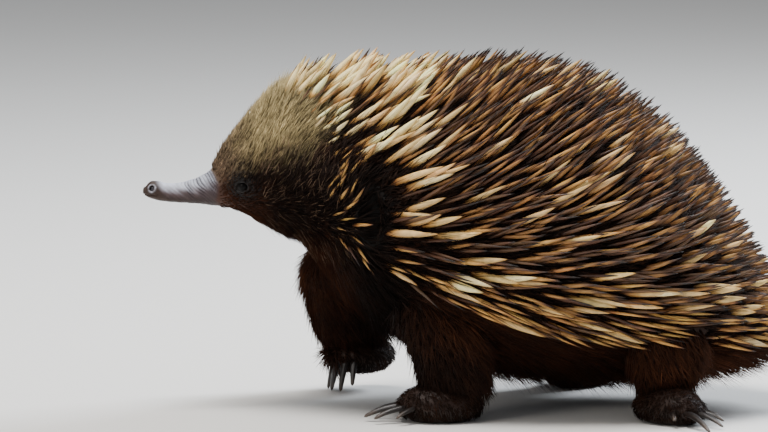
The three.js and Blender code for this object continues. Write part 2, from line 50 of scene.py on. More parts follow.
# %% Camera, floor and light
IMAGE_WIDTH = 0.430  # metres across the picture at the animal's middle
DISTANCE = 4.0
SENSOR = 36.0
AIM = Vector((-0.065, 0.0, 0.106))
CAMERA_RISE = math.radians(6.0)
FAR_CLIP = 60.0
LAMP_AIM = Vector((-0.03, 0.0, 0.09))
FLOOR_SIZE = 40.0


def turned_to(aim, place):
    """The turn that makes a camera or a lamp at a place look at an aim."""
    return (aim - place).to_track_quat("-Z", "Y").to_euler()


def set_sockets(node, values):
    """Sets numbers and colours on a shader's own sockets."""
    for name, value in values.items():
        node.inputs[name].default_value = value


camera = bpy.data.objects.new("camera", bpy.data.cameras.new("camera"))
bpy.context.scene.collection.objects.link(camera)
camera.data.sensor_width = SENSOR
camera.data.lens = SENSOR * DISTANCE / IMAGE_WIDTH
camera.location = AIM + DISTANCE * Vector((0.0, -math.cos(CAMERA_RISE), math.sin(CAMERA_RISE)))
camera.rotation_euler = turned_to(AIM, camera.location)
camera.data.clip_end = FAR_CLIP
bpy.context.scene.camera = camera


def area_light(name, place, size, power, tint):
    """A soft square lamp that faces the animal."""
    lamp = bpy.data.lights.new(name, "AREA")
    lamp.size = size
    lamp.energy = power
    lamp.color = tint
    holder = bpy.data.objects.new(name, lamp)
    holder.location = place
    holder.rotation_euler = turned_to(LAMP_AIM, holder.location)
    bpy.context.scene.collection.objects.link(holder)


area_light("sky_window", (-0.35, -0.1, 1.9), 0.9, 60.0, (1.0, 0.98, 0.95))
area_light("front_window", (-1.5, -1.7, 0.9), 0.9, 15.0, (1.0, 0.95, 0.88))
area_light("rump_window", (1.3, 1.1, 1.1), 0.8, 80.0, (0.83, 0.91, 1.0))

world = bpy.data.worlds.new("studio")
bpy.context.scene.world = world
world.use_nodes = True
set_sockets(world.node_tree.nodes["Background"], {"Color": (0.86, 0.9, 0.96, 1.0), "Strength": 0.38})

bpy.ops.object.select_all(action="DESELECT")
bpy.ops.mesh.primitive_plane_add(size=FLOOR_SIZE)
floor = bpy.context.active_object
floor.name = "floor"
print("lens in millimetres:", round(camera.data.lens, 1))

# %% [markdown]
# Every size below is in millimetres, as on the drawing of the solids, and is turned into metres only when
# points go into a mesh. The trunk is one long egg whose top, underside and width are known at places along
# the body. A smooth curve runs through those places.

# %% The trunk's measured sections
MM = 0.001
TRUNK = np.array([  # place along X, top, underside, half width
    (-198.6, 122.6, 117.4, 2.6),
    (-196.0, 125.2, 116.2, 4.0),
    (-192.5, 125.8, 115.1, 4.9),
    (-187.0, 124.6, 114.2, 5.1),
    (-181.0, 124.6, 113.7, 5.6),
    (-174.0, 126.2, 113.3, 6.6),
    (-167.0, 129.0, 112.8, 8.2),
    (-161.0, 133.5, 112.0, 10.6),
    (-154.0, 145.0, 111.5, 14.5),
    (-146.0, 154.5, 109.5, 19.5),
    (-137.0, 163.0, 105.5, 25.5),
    (-126.0, 171.0, 101.0, 33.0),
    (-112.0, 177.5, 95.0, 42.0),
    (-92.0, 179.5, 74.0, 54.0),
    (-70.0, 179.5, 54.0, 66.0),
    (-35.0, 180.0, 37.0, 79.0),
    (0.0, 181.5, 30.0, 86.0),
    (25.0, 179.0, 28.0, 88.0),
    (48.0, 173.0, 27.0, 87.5),
    (72.0, 158.5, 27.0, 84.0),
    (92.0, 141.0, 27.5, 77.0),
    (107.0, 122.5, 29.0, 69.0),
    (122.0, 101.0, 31.0, 57.0),
    (137.0, 77.0, 34.0, 42.0),
    (150.0, 57.0, 38.0, 24.0),
    (156.0, 50.0, 41.0, 11.0),
])
BEAK_TIP = np.array([-200.0, 0.0, 120.0])
RUMP_END = np.array([158.0, 0.0, 45.5])
WIDEST_AT = 0.4  # share of the section's height where the body is widest
UNDERSIDE_FULLNESS = 0.8  # under 1 makes the belly flatter than an ellipse


def curve_through(rows, at):
    """Values at the places `at`, on a smooth curve through rows of (place, value, value, ...)."""
    places, values = rows[:, 0], rows[:, 1:]
    at = np.clip(at, places[0], places[-1])
    slopes = np.diff(values, axis=0) / np.diff(places)[:, None]
    tangents = np.vstack([slopes[:1], (slopes[:-1] + slopes[1:]) / 2, slopes[-1:]])
    i = np.clip(np.searchsorted(places, at, side="right") - 1, 0, len(places) - 2)
    step = (places[i + 1] - places[i])[:, None]
    t = ((at - places[i])[:, None]) / step
    from_values = (2 * t**3 - 3 * t**2 + 1) * values[i] + (3 * t**2 - 2 * t**3) * values[i + 1]
    from_slopes = (t**3 - 2 * t**2 + t) * tangents[i] + (t**3 - t**2) * tangents[i + 1]
    return from_values + step * from_slopes


def trunk_size(x):
    """Top, underside, half width, and the height of the widest place, at places along X."""
    top, under, half = curve_through(TRUNK, x).T
    return top, under, half, under + WIDEST_AT * (top - under)


def trunk_point(x, angle, grow=0.0):
    """Points of the trunk's skin. Angle 0 is the animal's left side and a quarter turn is its back."""
    top, under, half, middle = trunk_size(x)
    c, s = np.cos(angle), np.sin(angle)
    over = s * (top - middle + grow)
    beneath = -np.abs(s) ** UNDERSIDE_FULLNESS * (middle - under + grow)
    return np.column_stack([x, -c * (half + grow), middle + np.where(s >= 0, over, beneath)])


def trunk_angle(points):
    """The angle round the trunk of points near its skin, and how many times as far out they are."""
    top, under, half, middle = trunk_size(points[:, 0])
    across = -points[:, 1] / half
    high = points[:, 2] - middle
    rise = np.where(high >= 0, high / (top - middle), 0.0)
    drop = np.where(high < 0, -high / (middle - under), 0.0)
    share = np.ones(len(points))
    for _ in range(6):
        s = rise / share - (drop / share) ** (1 / UNDERSIDE_FULLNESS)
        share *= np.hypot(across / share, s)
    return np.arctan2(s, across / share), share


print("trunk sections:", len(TRUNK), "longest", TRUNK[-1, 0] - TRUNK[0, 0], "mm")

# %% [markdown]
# All the smooth bodies here, the trunk, the legs and the claws, are tubes. By hand one would extrude a
# circle again and again. A quicker way gives the same mesh: a flat grid is rolled up, so that its length
# runs along the body and its width runs round it. The seam is merged, and the ends are drawn to a point.

# %% Rolling a grid into a closed tube
MERGE = 1e-6  # metres


def read_points(piece):
    """The points of a mesh, in millimetres."""
    flat = np.empty(len(piece.data.vertices) * 3)
    piece.data.vertices.foreach_get("co", flat)
    return flat.reshape(-1, 3) / MM


def write_points(piece, points):
    """Moves the points of a mesh to places in millimetres."""
    piece.data.vertices.foreach_set("co", (points * MM).ravel())
    piece.data.update()


def only(piece):
    """Selects one object and nothing else."""
    bpy.ops.object.select_all(action="DESELECT")
    piece.select_set(True)
    bpy.context.view_layer.objects.active = piece


def in_edit_mode(piece, *steps):
    """Runs steps with the whole of a piece selected in edit mode."""
    only(piece)
    bpy.ops.object.mode_set(mode="EDIT")
    bpy.ops.mesh.select_all(action="SELECT")
    for step in steps:
        step()
    bpy.ops.object.mode_set(mode="OBJECT")


def rolled(name, rings, sides, place):
    """A closed tube. place() turns the share along and the angle round into points in millimetres."""
    bpy.ops.object.select_all(action="DESELECT")
    bpy.ops.mesh.primitive_grid_add(x_subdivisions=rings, y_subdivisions=sides, size=2.0)
    tube = bpy.context.active_object
    tube.name = name
    flat = read_points(tube) * MM
    write_points(tube, place((flat[:, 0] + 1) / 2, (flat[:, 1] + 1) * math.pi))
    in_edit_mode(
        tube,
        lambda: bpy.ops.mesh.remove_doubles(threshold=MERGE),
        lambda: bpy.ops.mesh.normals_make_consistent(inside=False),
    )
    return tube


def smooth_step(value, low, high):
    """0 below low, 1 above high, and a soft rise between them. low may be the larger one."""
    t = np.clip((value - low) / (high - low), 0.0, 1.0)
    return t * t * (3 - 2 * t)


# Rings are close together on the beak and the face, where the skin shows, and wide apart under the coat.
RINGS = [(-200.0, 0), (-198.6, 8), (-190.0, 22), (-158.0, 92), (-120.0, 58), (-90.0, 22), (150.0, 84),
         (156.0, 4), (158.0, 6)]
TRUNK_SIDES = 128


def trunk_place(along, angle):
    """Points of the trunk's skin, which closes to a point at the beak's tip and at the rump."""
    places = np.array([x for x, _ in RINGS])
    counts = np.cumsum([count for _, count in RINGS])
    x = np.interp(along, counts / counts[-1], places)
    points = trunk_point(x, angle)
    for end, edge in ((BEAK_TIP, TRUNK[0, 0]), (RUMP_END, TRUNK[-1, 0])):
        beyond = (x - edge) / (end[0] - edge)
        closing = np.sqrt(np.clip(1 - np.clip(beyond, 0, 1) ** 2, 0, 1))[:, None]
        centre = np.column_stack([x, np.full_like(x, end[1]), np.full_like(x, end[2])])
        points = np.where(beyond[:, None] > 0, centre + closing * (points - centre), points)
    return points


skin = rolled("skin", sum(count for _, count in RINGS), TRUNK_SIDES, trunk_place)
print("trunk skin faces:", len(skin.data.polygons))

# %% [markdown]
# Legs, feet and tail are short tubes and eggs. Each is sunk into what carries it, and one Boolean union
# makes a single skin of them all, as on the animal, so that no seam shows anywhere.

# %% Legs, feet and tail
LEG_SKIN = -5.0  # the skin of a leg lies this far inside its fur
LEG_RINGS = 40
LEG_SIDES = 48
LEG_CAP = 0.06  # share of a leg's length that closes each end
FOOT_SKIN = -1.2
EGG_SIDES = 48
EGG_RINGS = 24
LIMBS = {  # rows of height, middle along X and Y, half sizes along X and Y, all in the fur
    "left_foreleg": [(86, -44, -40, 24, 20), (62, -38, -57, 27, 21), (42, -30, -67, 25, 19),
                     (24, -27, -71, 23, 17), (9, -29, -72, 20, 15)],
    "right_foreleg": [(96, -74, 34, 24, 18), (72, -85, 50, 28, 20), (50, -86, 58, 25, 18),
                      (33, -83, 62, 22, 16), (20, -79, 64, 17, 13)],
    "left_hindleg": [(78, 84, -40, 30, 22), (56, 88, -56, 30, 20), (36, 90, -65, 25, 17),
                     (20, 89, -69, 19, 14), (8, 88, -70, 16, 12)],
    "right_hindleg": [(78, 42, 48, 30, 22), (56, 43, 63, 30, 20), (36, 44, 70, 25, 17),
                      (20, 44, 73, 19, 14), (8, 43, 74, 16, 12)],
}
# Each foot: middle, half sizes, heading of the toes, height of the sole, dip of the claws. The heading and
# the dip are in degrees. A claw has its angle off the heading, its length and its width at the root.
FEET = {
    "left_forefoot": ((-34, -72, 9), (24, 19, 13), 184, 0, 14),
    "right_forefoot": ((-77, 65, 20), (19, 17, 11), 212, 10, 76),
    "left_hindfoot": ((92, -79, 8), (25, 16, 12), -52, 0, 14),
    "right_hindfoot": ((47, 81, 8), (25, 16, 12), 52, 0, 14),
}
FORE_CLAWS = [(-39, 13, 4.4), (-19, 18, 5.4), (0, 20, 5.8), (19, 18, 5.4), (39, 13, 4.4)]
HIND_CLAWS = [(-34, 8, 4.0), (-14, 28, 5.0), (4, 19, 4.6), (20, 13, 4.2), (36, 10, 3.8)]
TAIL_ROOT = 152
TAIL_MIDDLE = (160, 0, 44)
TAIL_HALF = (22, 11, 9.5)
TAIL_SKIN = -2.5


def limb_section(rows, z):
    """Middle and half sizes of a leg at heights."""
    return curve_through(np.array(sorted(rows), float), z).T


def leg(name, rows):
    """A leg's skin as a closed tube from the body down to the foot."""
    top, bottom = rows[0][0], rows[-1][0]

    def place(along, angle):
        z = top + (bottom - top) * along
        x, y, half_x, half_y = limb_section(rows, z)
        to_end = np.minimum(along, 1 - along) / LEG_CAP
        closing = np.sqrt(np.clip(1 - (1 - np.clip(to_end, 0, 1)) ** 2, 0, 1))
        return np.column_stack([
            x + (half_x + LEG_SKIN) * closing * np.cos(angle),
            y + (half_y + LEG_SKIN) * closing * np.sin(angle),
            z,
        ])

    return rolled(name, LEG_RINGS, LEG_SIDES, place)


def egg(name, middle, half, heading=0.0, sole=None):
    """An egg shape from a ball, with a flat sole cut level where one is given."""
    bpy.ops.object.select_all(action="DESELECT")
    bpy.ops.mesh.primitive_uv_sphere_add(segments=EGG_SIDES, ring_count=EGG_RINGS, radius=1.0)
    piece = bpy.context.active_object
    piece.name = name
    piece.scale = Vector(half) * MM
    piece.rotation_euler = (0.0, 0.0, math.radians(heading))
    piece.location = Vector(middle) * MM
    bpy.ops.object.transform_apply(location=True, rotation=True, scale=True)
    if sole is not None:
        cut = dict(plane_co=(0, 0, sole * MM), plane_no=(0, 0, 1), use_fill=True, clear_inner=True)
        in_edit_mode(piece, lambda: bpy.ops.mesh.bisect(**cut))
    return piece


ROOT_SHARE = 0.82  # how far out in the foot a claw has its root
ROOT_DROP = 1.0
ROOT_COVER = 0.14  # length added for the part of a claw under the skin, as a share of the foot's reach


def toe_line(foot_name, index):
    """Root, direction, length and width of one claw, counted from the innermost toe."""
    middle, half, heading, _, dip = FEET[foot_name]
    fore = "fore" in foot_name
    angle, length, width = (FORE_CLAWS if fore else HIND_CLAWS)[index]
    side = -1 if foot_name.startswith("left") == fore else 1
    turn = math.radians(side * angle)
    edge = 1 / math.hypot(math.cos(turn) / half[0], math.sin(turn) / half[1])
    facing = math.radians(heading) + turn
    flat = np.array([math.cos(facing), math.sin(facing), 0.0])
    root = np.array(middle, float) + np.array([0, 0, -ROOT_DROP]) + flat * edge * ROOT_SHARE
    down = math.radians(dip)
    direction = flat * math.cos(down) + np.array([0, 0, -math.sin(down)])
    return root, direction, length + edge * ROOT_COVER, width


def joined_by_union(base, others):
    """One closed skin of a base and all the pieces sunk into it."""
    group = bpy.data.collections.new("sunk_into_" + base.name)
    for piece in others:
        group.objects.link(piece)
    join = base.modifiers.new("join", "BOOLEAN")
    join.operation = "UNION"
    join.operand_type = "COLLECTION"
    join.collection = group
    join.solver = "EXACT"
    only(base)
    bpy.ops.object.modifier_apply(modifier=join.name)
    for piece in others:
        bpy.data.objects.remove(piece)
    bpy.data.collections.remove(group)


TOES = range(5)
TOE_BACK = 1.5  # how far a toe's middle lies behind the root of its claw
TOE_RISE = 0.8
TOE_SHARES = (0.95, 0.78, 0.72)  # a toe's half sizes, as shares of its claw's width
sunk = [leg(name + "_skin", rows) for name, rows in LIMBS.items()]
for name, (middle, half, heading, sole, _) in FEET.items():
    sunk.append(egg(name + "_skin", middle, [h + FOOT_SKIN for h in half], heading, sole))
    for index in TOES:
        root, direction, _, width = toe_line(name, index)
        toe = root - direction * TOE_BACK + np.array([0, 0, TOE_RISE])
        toe_half = [width * share for share in TOE_SHARES]
        toe_heading = math.degrees(math.atan2(direction[1], direction[0]))
        sunk.append(egg(f"{name}_toe_{index + 1}", toe, toe_half, toe_heading, sole))
sunk.append(egg("tail_skin", TAIL_MIDDLE, [h + TAIL_SKIN for h in TAIL_HALF]))
joined_by_union(skin, sunk)
print("whole skin faces:", len(skin.data.polygons))

# %% [markdown]
# The face needs a finer mesh than the body before lids, nostrils and the ear can be pressed into it. Only
# the faces near those places are subdivided, and the new points are laid back on the trunk's curve.

# %% Finer skin where the detail is
EYE = np.array([-144.0, 17.0, 124.5])
EYE_RADIUS = 4.6
NOSTRIL = np.array([-194.8, 3.9, 121.9])
EAR = np.array([-72.0, 0.0, 112.5])
EAR_HALF_LENGTH = 7.5
EAR_HALF_HEIGHT = 17.0
FACE_END = -60.0  # the bare places of the face all lie before this place along X
FAR_OFF = 9.0  # stands for a distance that is out of reach, as a place in the middle of the body has


def mirrored_distance(points, centre, scale=(1.0, 1.0, 1.0)):
    """Distance from the nearer of two places, one on each side of the body."""
    across = np.abs(points[:, 1]) - centre[1]
    off = np.column_stack([points[:, 0] - centre[0], across, points[:, 2] - centre[2]])
    return np.linalg.norm(off / np.array(scale), axis=1)


def refine(piece, near, cuts):
    """Subdivides the faces whose middles are near a place, each edge in cuts + 1 parts."""
    middles = np.empty(len(piece.data.polygons) * 3)
    piece.data.polygons.foreach_get("center", middles)
    chosen = near(middles.reshape(-1, 3) / MM)
    only(piece)
    bpy.context.tool_settings.mesh_select_mode = (False, False, True)
    bpy.ops.object.mode_set(mode="EDIT")
    bpy.ops.mesh.select_all(action="DESELECT")
    bpy.ops.object.mode_set(mode="OBJECT")
    piece.data.polygons.foreach_set("select", chosen)
    bpy.ops.object.mode_set(mode="EDIT")
    bpy.ops.mesh.subdivide(number_cuts=cuts)
    bpy.ops.object.mode_set(mode="OBJECT")


def ear_distance(points):
    """1 on the edge of the ear's opening, less inside it."""
    across = (points[:, 0] - EAR[0]) / EAR_HALF_LENGTH
    upright = (points[:, 2] - EAR[2]) / EAR_HALF_HEIGHT
    return np.where(np.abs(points[:, 1]) > 20, np.hypot(across, upright), FAR_OFF)


refine(skin, lambda p: mirrored_distance(p, EYE) < 13.0, 2)
refine(skin, lambda p: mirrored_distance(p, NOSTRIL) < 4.5, 1)
refine(skin, lambda p: ear_distance(p) < 1.9, 3)

points = read_points(skin)
angle, share = trunk_angle(points)
on_face = (points[:, 0] > TRUNK[0, 0]) & (points[:, 0] < FACE_END) & (np.abs(share - 1) < 0.06)
points[on_face] = trunk_point(points[on_face, 0], angle[on_face])
write_points(skin, points)
print("refined skin faces:", len(skin.data.polygons))

# %% [markdown]
# Now the skin gets its own relief. The beak has fine slanted folds that deepen towards the face. Two
# wrinkled lids close round each small eye. The nostrils open on the sides of the tip with a pale raised rim,
# the mouth is a short slit at the very end, and the ear is an upright slot. Each is a height off the
# surface, worked out from the distance to its place, so that both sides come out alike.

# %% Folds, lids, nostrils, mouth and ear
def bump_ring(distance, at, width):
    """1 on the ring at a distance, with soft sides."""
    return np.exp(-(((distance - at) / width) ** 2))


def point_normals(piece):
    """The directions that the surface faces at its points."""
    flat = np.empty(len(piece.data.vertices) * 3)
    piece.data.vertex_normals.foreach_get("vector", flat)
    return flat.reshape(-1, 3)


FOLD_PERIOD = 2.3  # from one fold of the beak to the next
FINE_PERIOD = 1.35
FOLD_SLANT = 1.1  # how far a fold runs back for each unit down


def beak_folds(points):
    """Slanted folds, strongest where the beak meets the fur, with fine ones between them."""
    angle, _ = trunk_angle(points)
    x = points[:, 0]
    slanted = x + FOLD_SLANT * (points[:, 2] - BEAK_TIP[2])
    wobble = 0.9 * np.sin(2.3 * angle + 1.0) + 0.4 * np.sin(5.1 * angle + 0.23 * x) + 0.5 * np.sin(0.47 * x)
    wave = np.sin(2 * math.pi * (slanted + wobble) / FOLD_PERIOD)
    fine = np.sin(2 * math.pi * (slanted * 1.13 - 1.6 * wobble) / FINE_PERIOD)
    uneven = 0.65 + 0.35 * np.sin(0.9 * x + 3.0 * angle)
    strength = smooth_step(x, -186.0, -165.0) * smooth_step(x, -148.0, -156.0) * uneven
    topside = 0.45 + 0.55 * smooth_step(np.sin(angle), -0.4, 0.5)
    crease = -0.75 * np.clip(wave, 0, 1) ** 2 - 0.2 * np.clip(fine, 0, 1) ** 2
    soft = 0.05 * np.sin(x * 1.1 + 2 * angle) * smooth_step(x, -150.0, -170.0)
    return crease * strength * topside + soft


MOUTH_HEIGHT = 117.9
SLIT_DEPTH = 0.75


def mouth_slit(points):
    """A short slit at the very end of the beak, a little lower at the back."""
    back = smooth_step(points[:, 0], -190.5, -192.0)
    return -SLIT_DEPTH * bump_ring(points[:, 2] + 0.04 * (points[:, 0] + 195), MOUTH_HEIGHT, 0.42) * back


CUP_DEPTH = 2.4
LID_DEPTH = 4.0
LID_HALF_LENGTH = 3.2
LID_HALF_HEIGHT = 2.2
EAR_DEPTH = 7.0


def nostril_cups(points):
    """A cup for each nostril, with a raised rim."""
    distance = mirrored_distance(points, NOSTRIL)
    rim = 0.35 * bump_ring(distance, 2.0, 0.45)
    return rim - CUP_DEPTH * smooth_step(distance, 1.65, 0.9)


def lids(points):
    """The opening for each eye, with a raised edge and two wrinkles round it."""
    across = (points[:, 0] - EYE[0]) / LID_HALF_LENGTH
    upright = (points[:, 2] - EYE[2]) / LID_HALF_HEIGHT
    distance = np.where(np.abs(points[:, 1]) > 10, np.hypot(across, upright), FAR_OFF)
    margin = 0.6 * bump_ring(distance, 1.26, 0.24)
    second = 0.3 * bump_ring(distance, 2.0, 0.22) + 0.2 * bump_ring(distance, 2.6, 0.25)
    grooves = -0.25 * bump_ring(distance, 1.66, 0.16) - 0.2 * bump_ring(distance, 2.3, 0.16)
    return margin + second + grooves - LID_DEPTH * smooth_step(distance, 1.0, 0.8)


def ear_slot(points):
    """An upright hollow behind each cheek."""
    distance = ear_distance(points)
    return 0.4 * bump_ring(distance, 1.2, 0.2) - EAR_DEPTH * smooth_step(distance, 1.06, 0.3)


points = read_points(skin)
relief = beak_folds(points) + mouth_slit(points) + nostril_cups(points) + lids(points) + ear_slot(points)
relief[points[:, 0] > FACE_END] = 0.0
write_points(skin, points + point_normals(skin) * relief[:, None])
only(skin)
bpy.ops.object.shade_smooth()
print("relief from", round(relief.min(), 2), "to", round(relief.max(), 2), "mm")

# %% [markdown]
# The same markings colour the skin and the coat that grows from it: khaki on the crown, near black round
# the eye and the ear and on the throat, and dark brown on the body, with a little chestnut at the jaw. Round
# the ear the near black is partly painted shade of its hollow.
# They are a function of the place alone, so that a tuft always matches the skin at its root.

# %% Markings
def tone(code):
    """A colour written as on a paint card, as the light it gives back."""
    parts = np.array([int(code[i:i + 2], 16) for i in (0, 2, 4)]) / 255.0
    return np.where(parts <= 0.04045, parts / 12.92, ((parts + 0.055) / 1.055) ** 2.4)


KHAKI = tone("867754")
KHAKI_DEEP = tone("5c493a")
DARK_BROWN = tone("27160d")
NEAR_BLACK = tone("130a06")
CHESTNUT = tone("4b2814")
# The beak's slate top carries painted highlight, and the colour of its underside is painted shade.
LIT_SLATE = tone("b9bdca")
MAUVE = tone("5e4f51")
BEAK_UNDERSIDE_SHADE = tone("2a1b15")
# A dark brown for the beak's base and for the painted shade in its creases.
DARK_BASE_AND_CREASE_SHADE = tone("2a2228")
TIP_BROWN = tone("35261f")
RIM_PALE = tone("a9a9b3")
FACE_BROWN = tone("3a1f11")
LID_GREY = tone("120e0d")
SOLE_GREY = tone("2e2521")


def mix(low, high, share):
    """Rows between low and high, each by its own share."""
    share = np.asarray(share)[:, None]
    return low * (1 - share) + high * share


BEAK_EDGE = np.array([(112, -159.0), (124, -157.5), (130, -160.0), (134, -164.0)])  # height, X


def beak_edge(z):
    """Where the bare beak ends and the fur begins, at heights."""
    return np.interp(z, *BEAK_EDGE.T)


def markings(points):
    """The colour of the fur at places, from crown to throat and from face to tail."""
    x, _, z = points.T
    colour = np.tile(DARK_BROWN, (len(points), 1))
    edge = 125 + 0.1 * (x + 148) + 17 * smooth_step(x, -114, -96)
    crown = smooth_step(z, edge, edge + 21) * smooth_step(x, -78, -112)
    colour = mix(colour, KHAKI, crown)
    colour = mix(colour, KHAKI_DEEP, 0.8 * smooth_step(x, -136, -158) * (z > 124))
    eye_patch = smooth_step(mirrored_distance(points, EYE + (5, 0, 0), (1.5, 1.2, 1.0)), 12.5, 6.5)
    colour = mix(colour, 0.6 * NEAR_BLACK, eye_patch)
    # Near black over the cheek and round the ear, partly the fur's own colour and partly painted shade of
    # the ear's hollow.
    cheek = smooth_step(x, -138, -120) * smooth_step(x, -46, -66) * smooth_step(z, 146, 130)
    colour = mix(colour, NEAR_BLACK, 0.8 * cheek * (z > 60))
    jaw = smooth_step(x, -134, -118) * smooth_step(x, -84, -98) * smooth_step(z, 108, 96)
    colour = mix(colour, CHESTNUT, 0.35 * jaw)
    face = smooth_step(x, -128, -146) * smooth_step(z, 129, 122)
    return mix(colour, FACE_BROWN, face * (1 - 0.8 * eye_patch))


def skin_colours(points, relief):
    """The markings, with the bare beak, the lids and the soles in their own colours, painted light and shade
    on the beak, and painted shade in its creases, the nostrils and the ear.
    """
    x, _, z = points.T
    angle, _ = trunk_angle(points)
    beak = smooth_step(x - beak_edge(z), 1.5, -1.5)
    mottled = 0.1 * np.sin(0.6 * x + 0.7 * z) * np.sin(1.4 * x + 1.9 * z) + 0.08 * np.sin(0.47 * x + 1.1 * z)
    # lit is painted light and shade: the beak is lighter on top, where the light falls, and darker
    # underneath, broken by mottling.
    lit = np.sin(angle) + 0.003 * (x + 175) + mottled
    beak_colour = mix(np.tile(BEAK_UNDERSIDE_SHADE, (len(points), 1)), MAUVE, smooth_step(lit, -0.7, 0.45))
    beak_colour = mix(beak_colour, LIT_SLATE, smooth_step(lit, 0.0, 0.85))
    # The beak is painted darker towards the face.
    beak_colour = mix(beak_colour, DARK_BASE_AND_CREASE_SHADE, 0.25 * smooth_step(x, -178, -162))
    # Painted shade in the creases of the folds, darker where they sink deeper.
    beak_colour = mix(beak_colour, DARK_BASE_AND_CREASE_SHADE, np.clip(-2.8 * relief, 0, 0.9))
    beak_colour = mix(beak_colour, TIP_BROWN, smooth_step(x + 0.4 * (z - 120), -186.5, -191.5))
    nostril = mirrored_distance(points, NOSTRIL)
    round_rim = np.arctan2(z - NOSTRIL[2], x - NOSTRIL[0])
    broken_rim = 0.6 + 0.25 * np.sin(3 * round_rim + 0.6) + 0.15 * np.sin(7 * round_rim)
    beak_colour = mix(beak_colour, RIM_PALE, broken_rim * bump_ring(nostril, 2.1, 0.5) * (x < -190))
    # Painted shade inside each nostril's cup.
    beak_colour = mix(beak_colour, 0.5 * NEAR_BLACK, smooth_step(nostril, 1.8, 1.35))
    colour = mix(markings(points), beak_colour, beak)
    eye = mirrored_distance(points, EYE, (1.15, 1.4, 1.0))
    colour = mix(colour, 0.6 * NEAR_BLACK, smooth_step(eye, 9.0, 6.0))
    colour = mix(colour, LID_GREY, 0.8 * bump_ring(eye, 3.9, 0.9))
    # Painted shade in the ear's hollow.
    colour = mix(colour, NEAR_BLACK * 0.5, smooth_step(ear_distance(points), 1.9, 1.5))
    return mix(colour, SOLE_GREY, smooth_step(z, 10, 5) * (x > -130))


def paint(piece, name, colours):
    """Stores one colour for each point of a mesh, under a name that its material reads."""
    layer = piece.data.attributes.new(name, "FLOAT_COLOR", "POINT")
    layer.data.foreach_set("color", np.column_stack([colours, np.ones(len(colours))]).ravel())


paint(skin, "tone", skin_colours(read_points(skin), relief))


# %% [markdown]
# Skin is never one colour. Its material takes the markings, breaks them with fine mottling, and adds the
# small pits and wrinkles that are too fine for the mesh as bump. Fur and spines read the same markings.

# %% Materials
PIT_DEPTH = 0.0004  # metres


def material(name, roughness, specular, mottle, grain, bump=0.0, bump_grain=900.0):
    """A finish that takes its colour from the painted tone and breaks it up with fine noise."""
    made = bpy.data.materials.new(name)
    made.use_nodes = True
    nodes, links = made.node_tree.nodes, made.node_tree.links
    surface = nodes["Principled BSDF"]
    set_sockets(surface, {"Roughness": roughness, "Specular IOR Level": specular})
    painted = nodes.new("ShaderNodeAttribute")
    painted.attribute_name = "tone"
    where = nodes.new("ShaderNodeTexCoord")

    def noise_at(scale, detail):
        noise = nodes.new("ShaderNodeTexNoise")
        set_sockets(noise, {"Scale": scale, "Detail": detail})
        links.new(where.outputs["Object"], noise.inputs["Vector"])
        return noise.outputs["Fac"]

    level = nodes.new("ShaderNodeMapRange")
    spread = {"From Min": 0.3, "From Max": 0.7, "To Min": 1.0 - mottle, "To Max": 1.0 + mottle}
    set_sockets(level, spread)
    links.new(noise_at(grain, 4.0), level.inputs["Value"])
    broken = nodes.new("ShaderNodeMix")
    broken.data_type = "RGBA"
    broken.blend_type = "MULTIPLY"
    broken.inputs["Factor"].default_value = 1.0
    links.new(painted.outputs["Color"], broken.inputs["A"])
    links.new(level.outputs["Result"], broken.inputs["B"])
    links.new(broken.outputs["Result"], surface.inputs["Base Color"])
    if bump:
        raised = nodes.new("ShaderNodeBump")
        set_sockets(raised, {"Strength": bump, "Distance": PIT_DEPTH})
        links.new(noise_at(bump_grain, 3.0), raised.inputs["Height"])
        links.new(raised.outputs["Normal"], surface.inputs["Normal"])
    return made


# Roughness, specular level, mottle and its grain, then the strength and the grain of the pits.
SKIN_FINISH = material("bare_skin", 0.58, 0.28, 0.16, 220.0, 0.55, 1500.0)
FUR_FINISH = material("fur", 0.75, 0.12, 0.3, 60.0)
SPINE_FINISH = material("spine_horn", 0.4, 0.4, 0.16, 320.0, 0.15, 2500.0)
CLAW_FINISH = material("claw_horn", 0.36, 0.5, 0.25, 400.0, 0.4, 1800.0)
EYE_FINISH = material("wet_eye", 0.3, 0.08, 0.1, 300.0)
set_sockets(EYE_FINISH.node_tree.nodes["Principled BSDF"], {"Coat Weight": 0.03, "Coat Roughness": 0.05})

floor_finish = bpy.data.materials.new("pale_floor")
floor_finish.use_nodes = True
floor_look = {"Base Color": (0.7, 0.68, 0.65, 1.0), "Roughness": 0.9}
set_sockets(floor_finish.node_tree.nodes["Principled BSDF"], floor_look)
floor.data.materials.append(floor_finish)


def finished(piece, finish, slot_name, *nodes):
    """Gives a piece its finish and its place in the model."""
    piece.data.materials.clear()
    piece.data.materials.append(finish)
    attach(piece, "root")
    if nodes:
        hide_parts(*nodes)


FLESH = [
    "beak", "head", "neck", "shoulders", "loins", "rump", "tail", "left_ear", "right_ear", *LIMBS, *FEET,
]
finished(skin, SKIN_FINISH, "beak_skin", *FLESH)
print("skin replaces", len(FLESH), "solids")

# %% [markdown]
# An echidna digs with its claws, so they are long, blunt and ridged. Each is a tube on a bent path that
# turns from a flat oval at the root to a narrow rounded tip. The second claw of the hind foot is much
# longer than the rest, because the animal grooms between its spines with it.

# %% Claws
CLAW_PALE = tone("5b4b3e")
CLAW_DARK = tone("1a1310")
CLAW_RINGS = 22
CLAW_SIDES = 20
CLAW_BEND = 0.13  # how high the middle is bent, as a share of the length
CLAW_TAPER = 0.58
CLAW_TIP_HEIGHT = 0.5
CLAW_LOWEST = 0.05
TIP_SHARE = 0.1  # share of the length that rounds off the tip
ROOT_CAP = 0.05


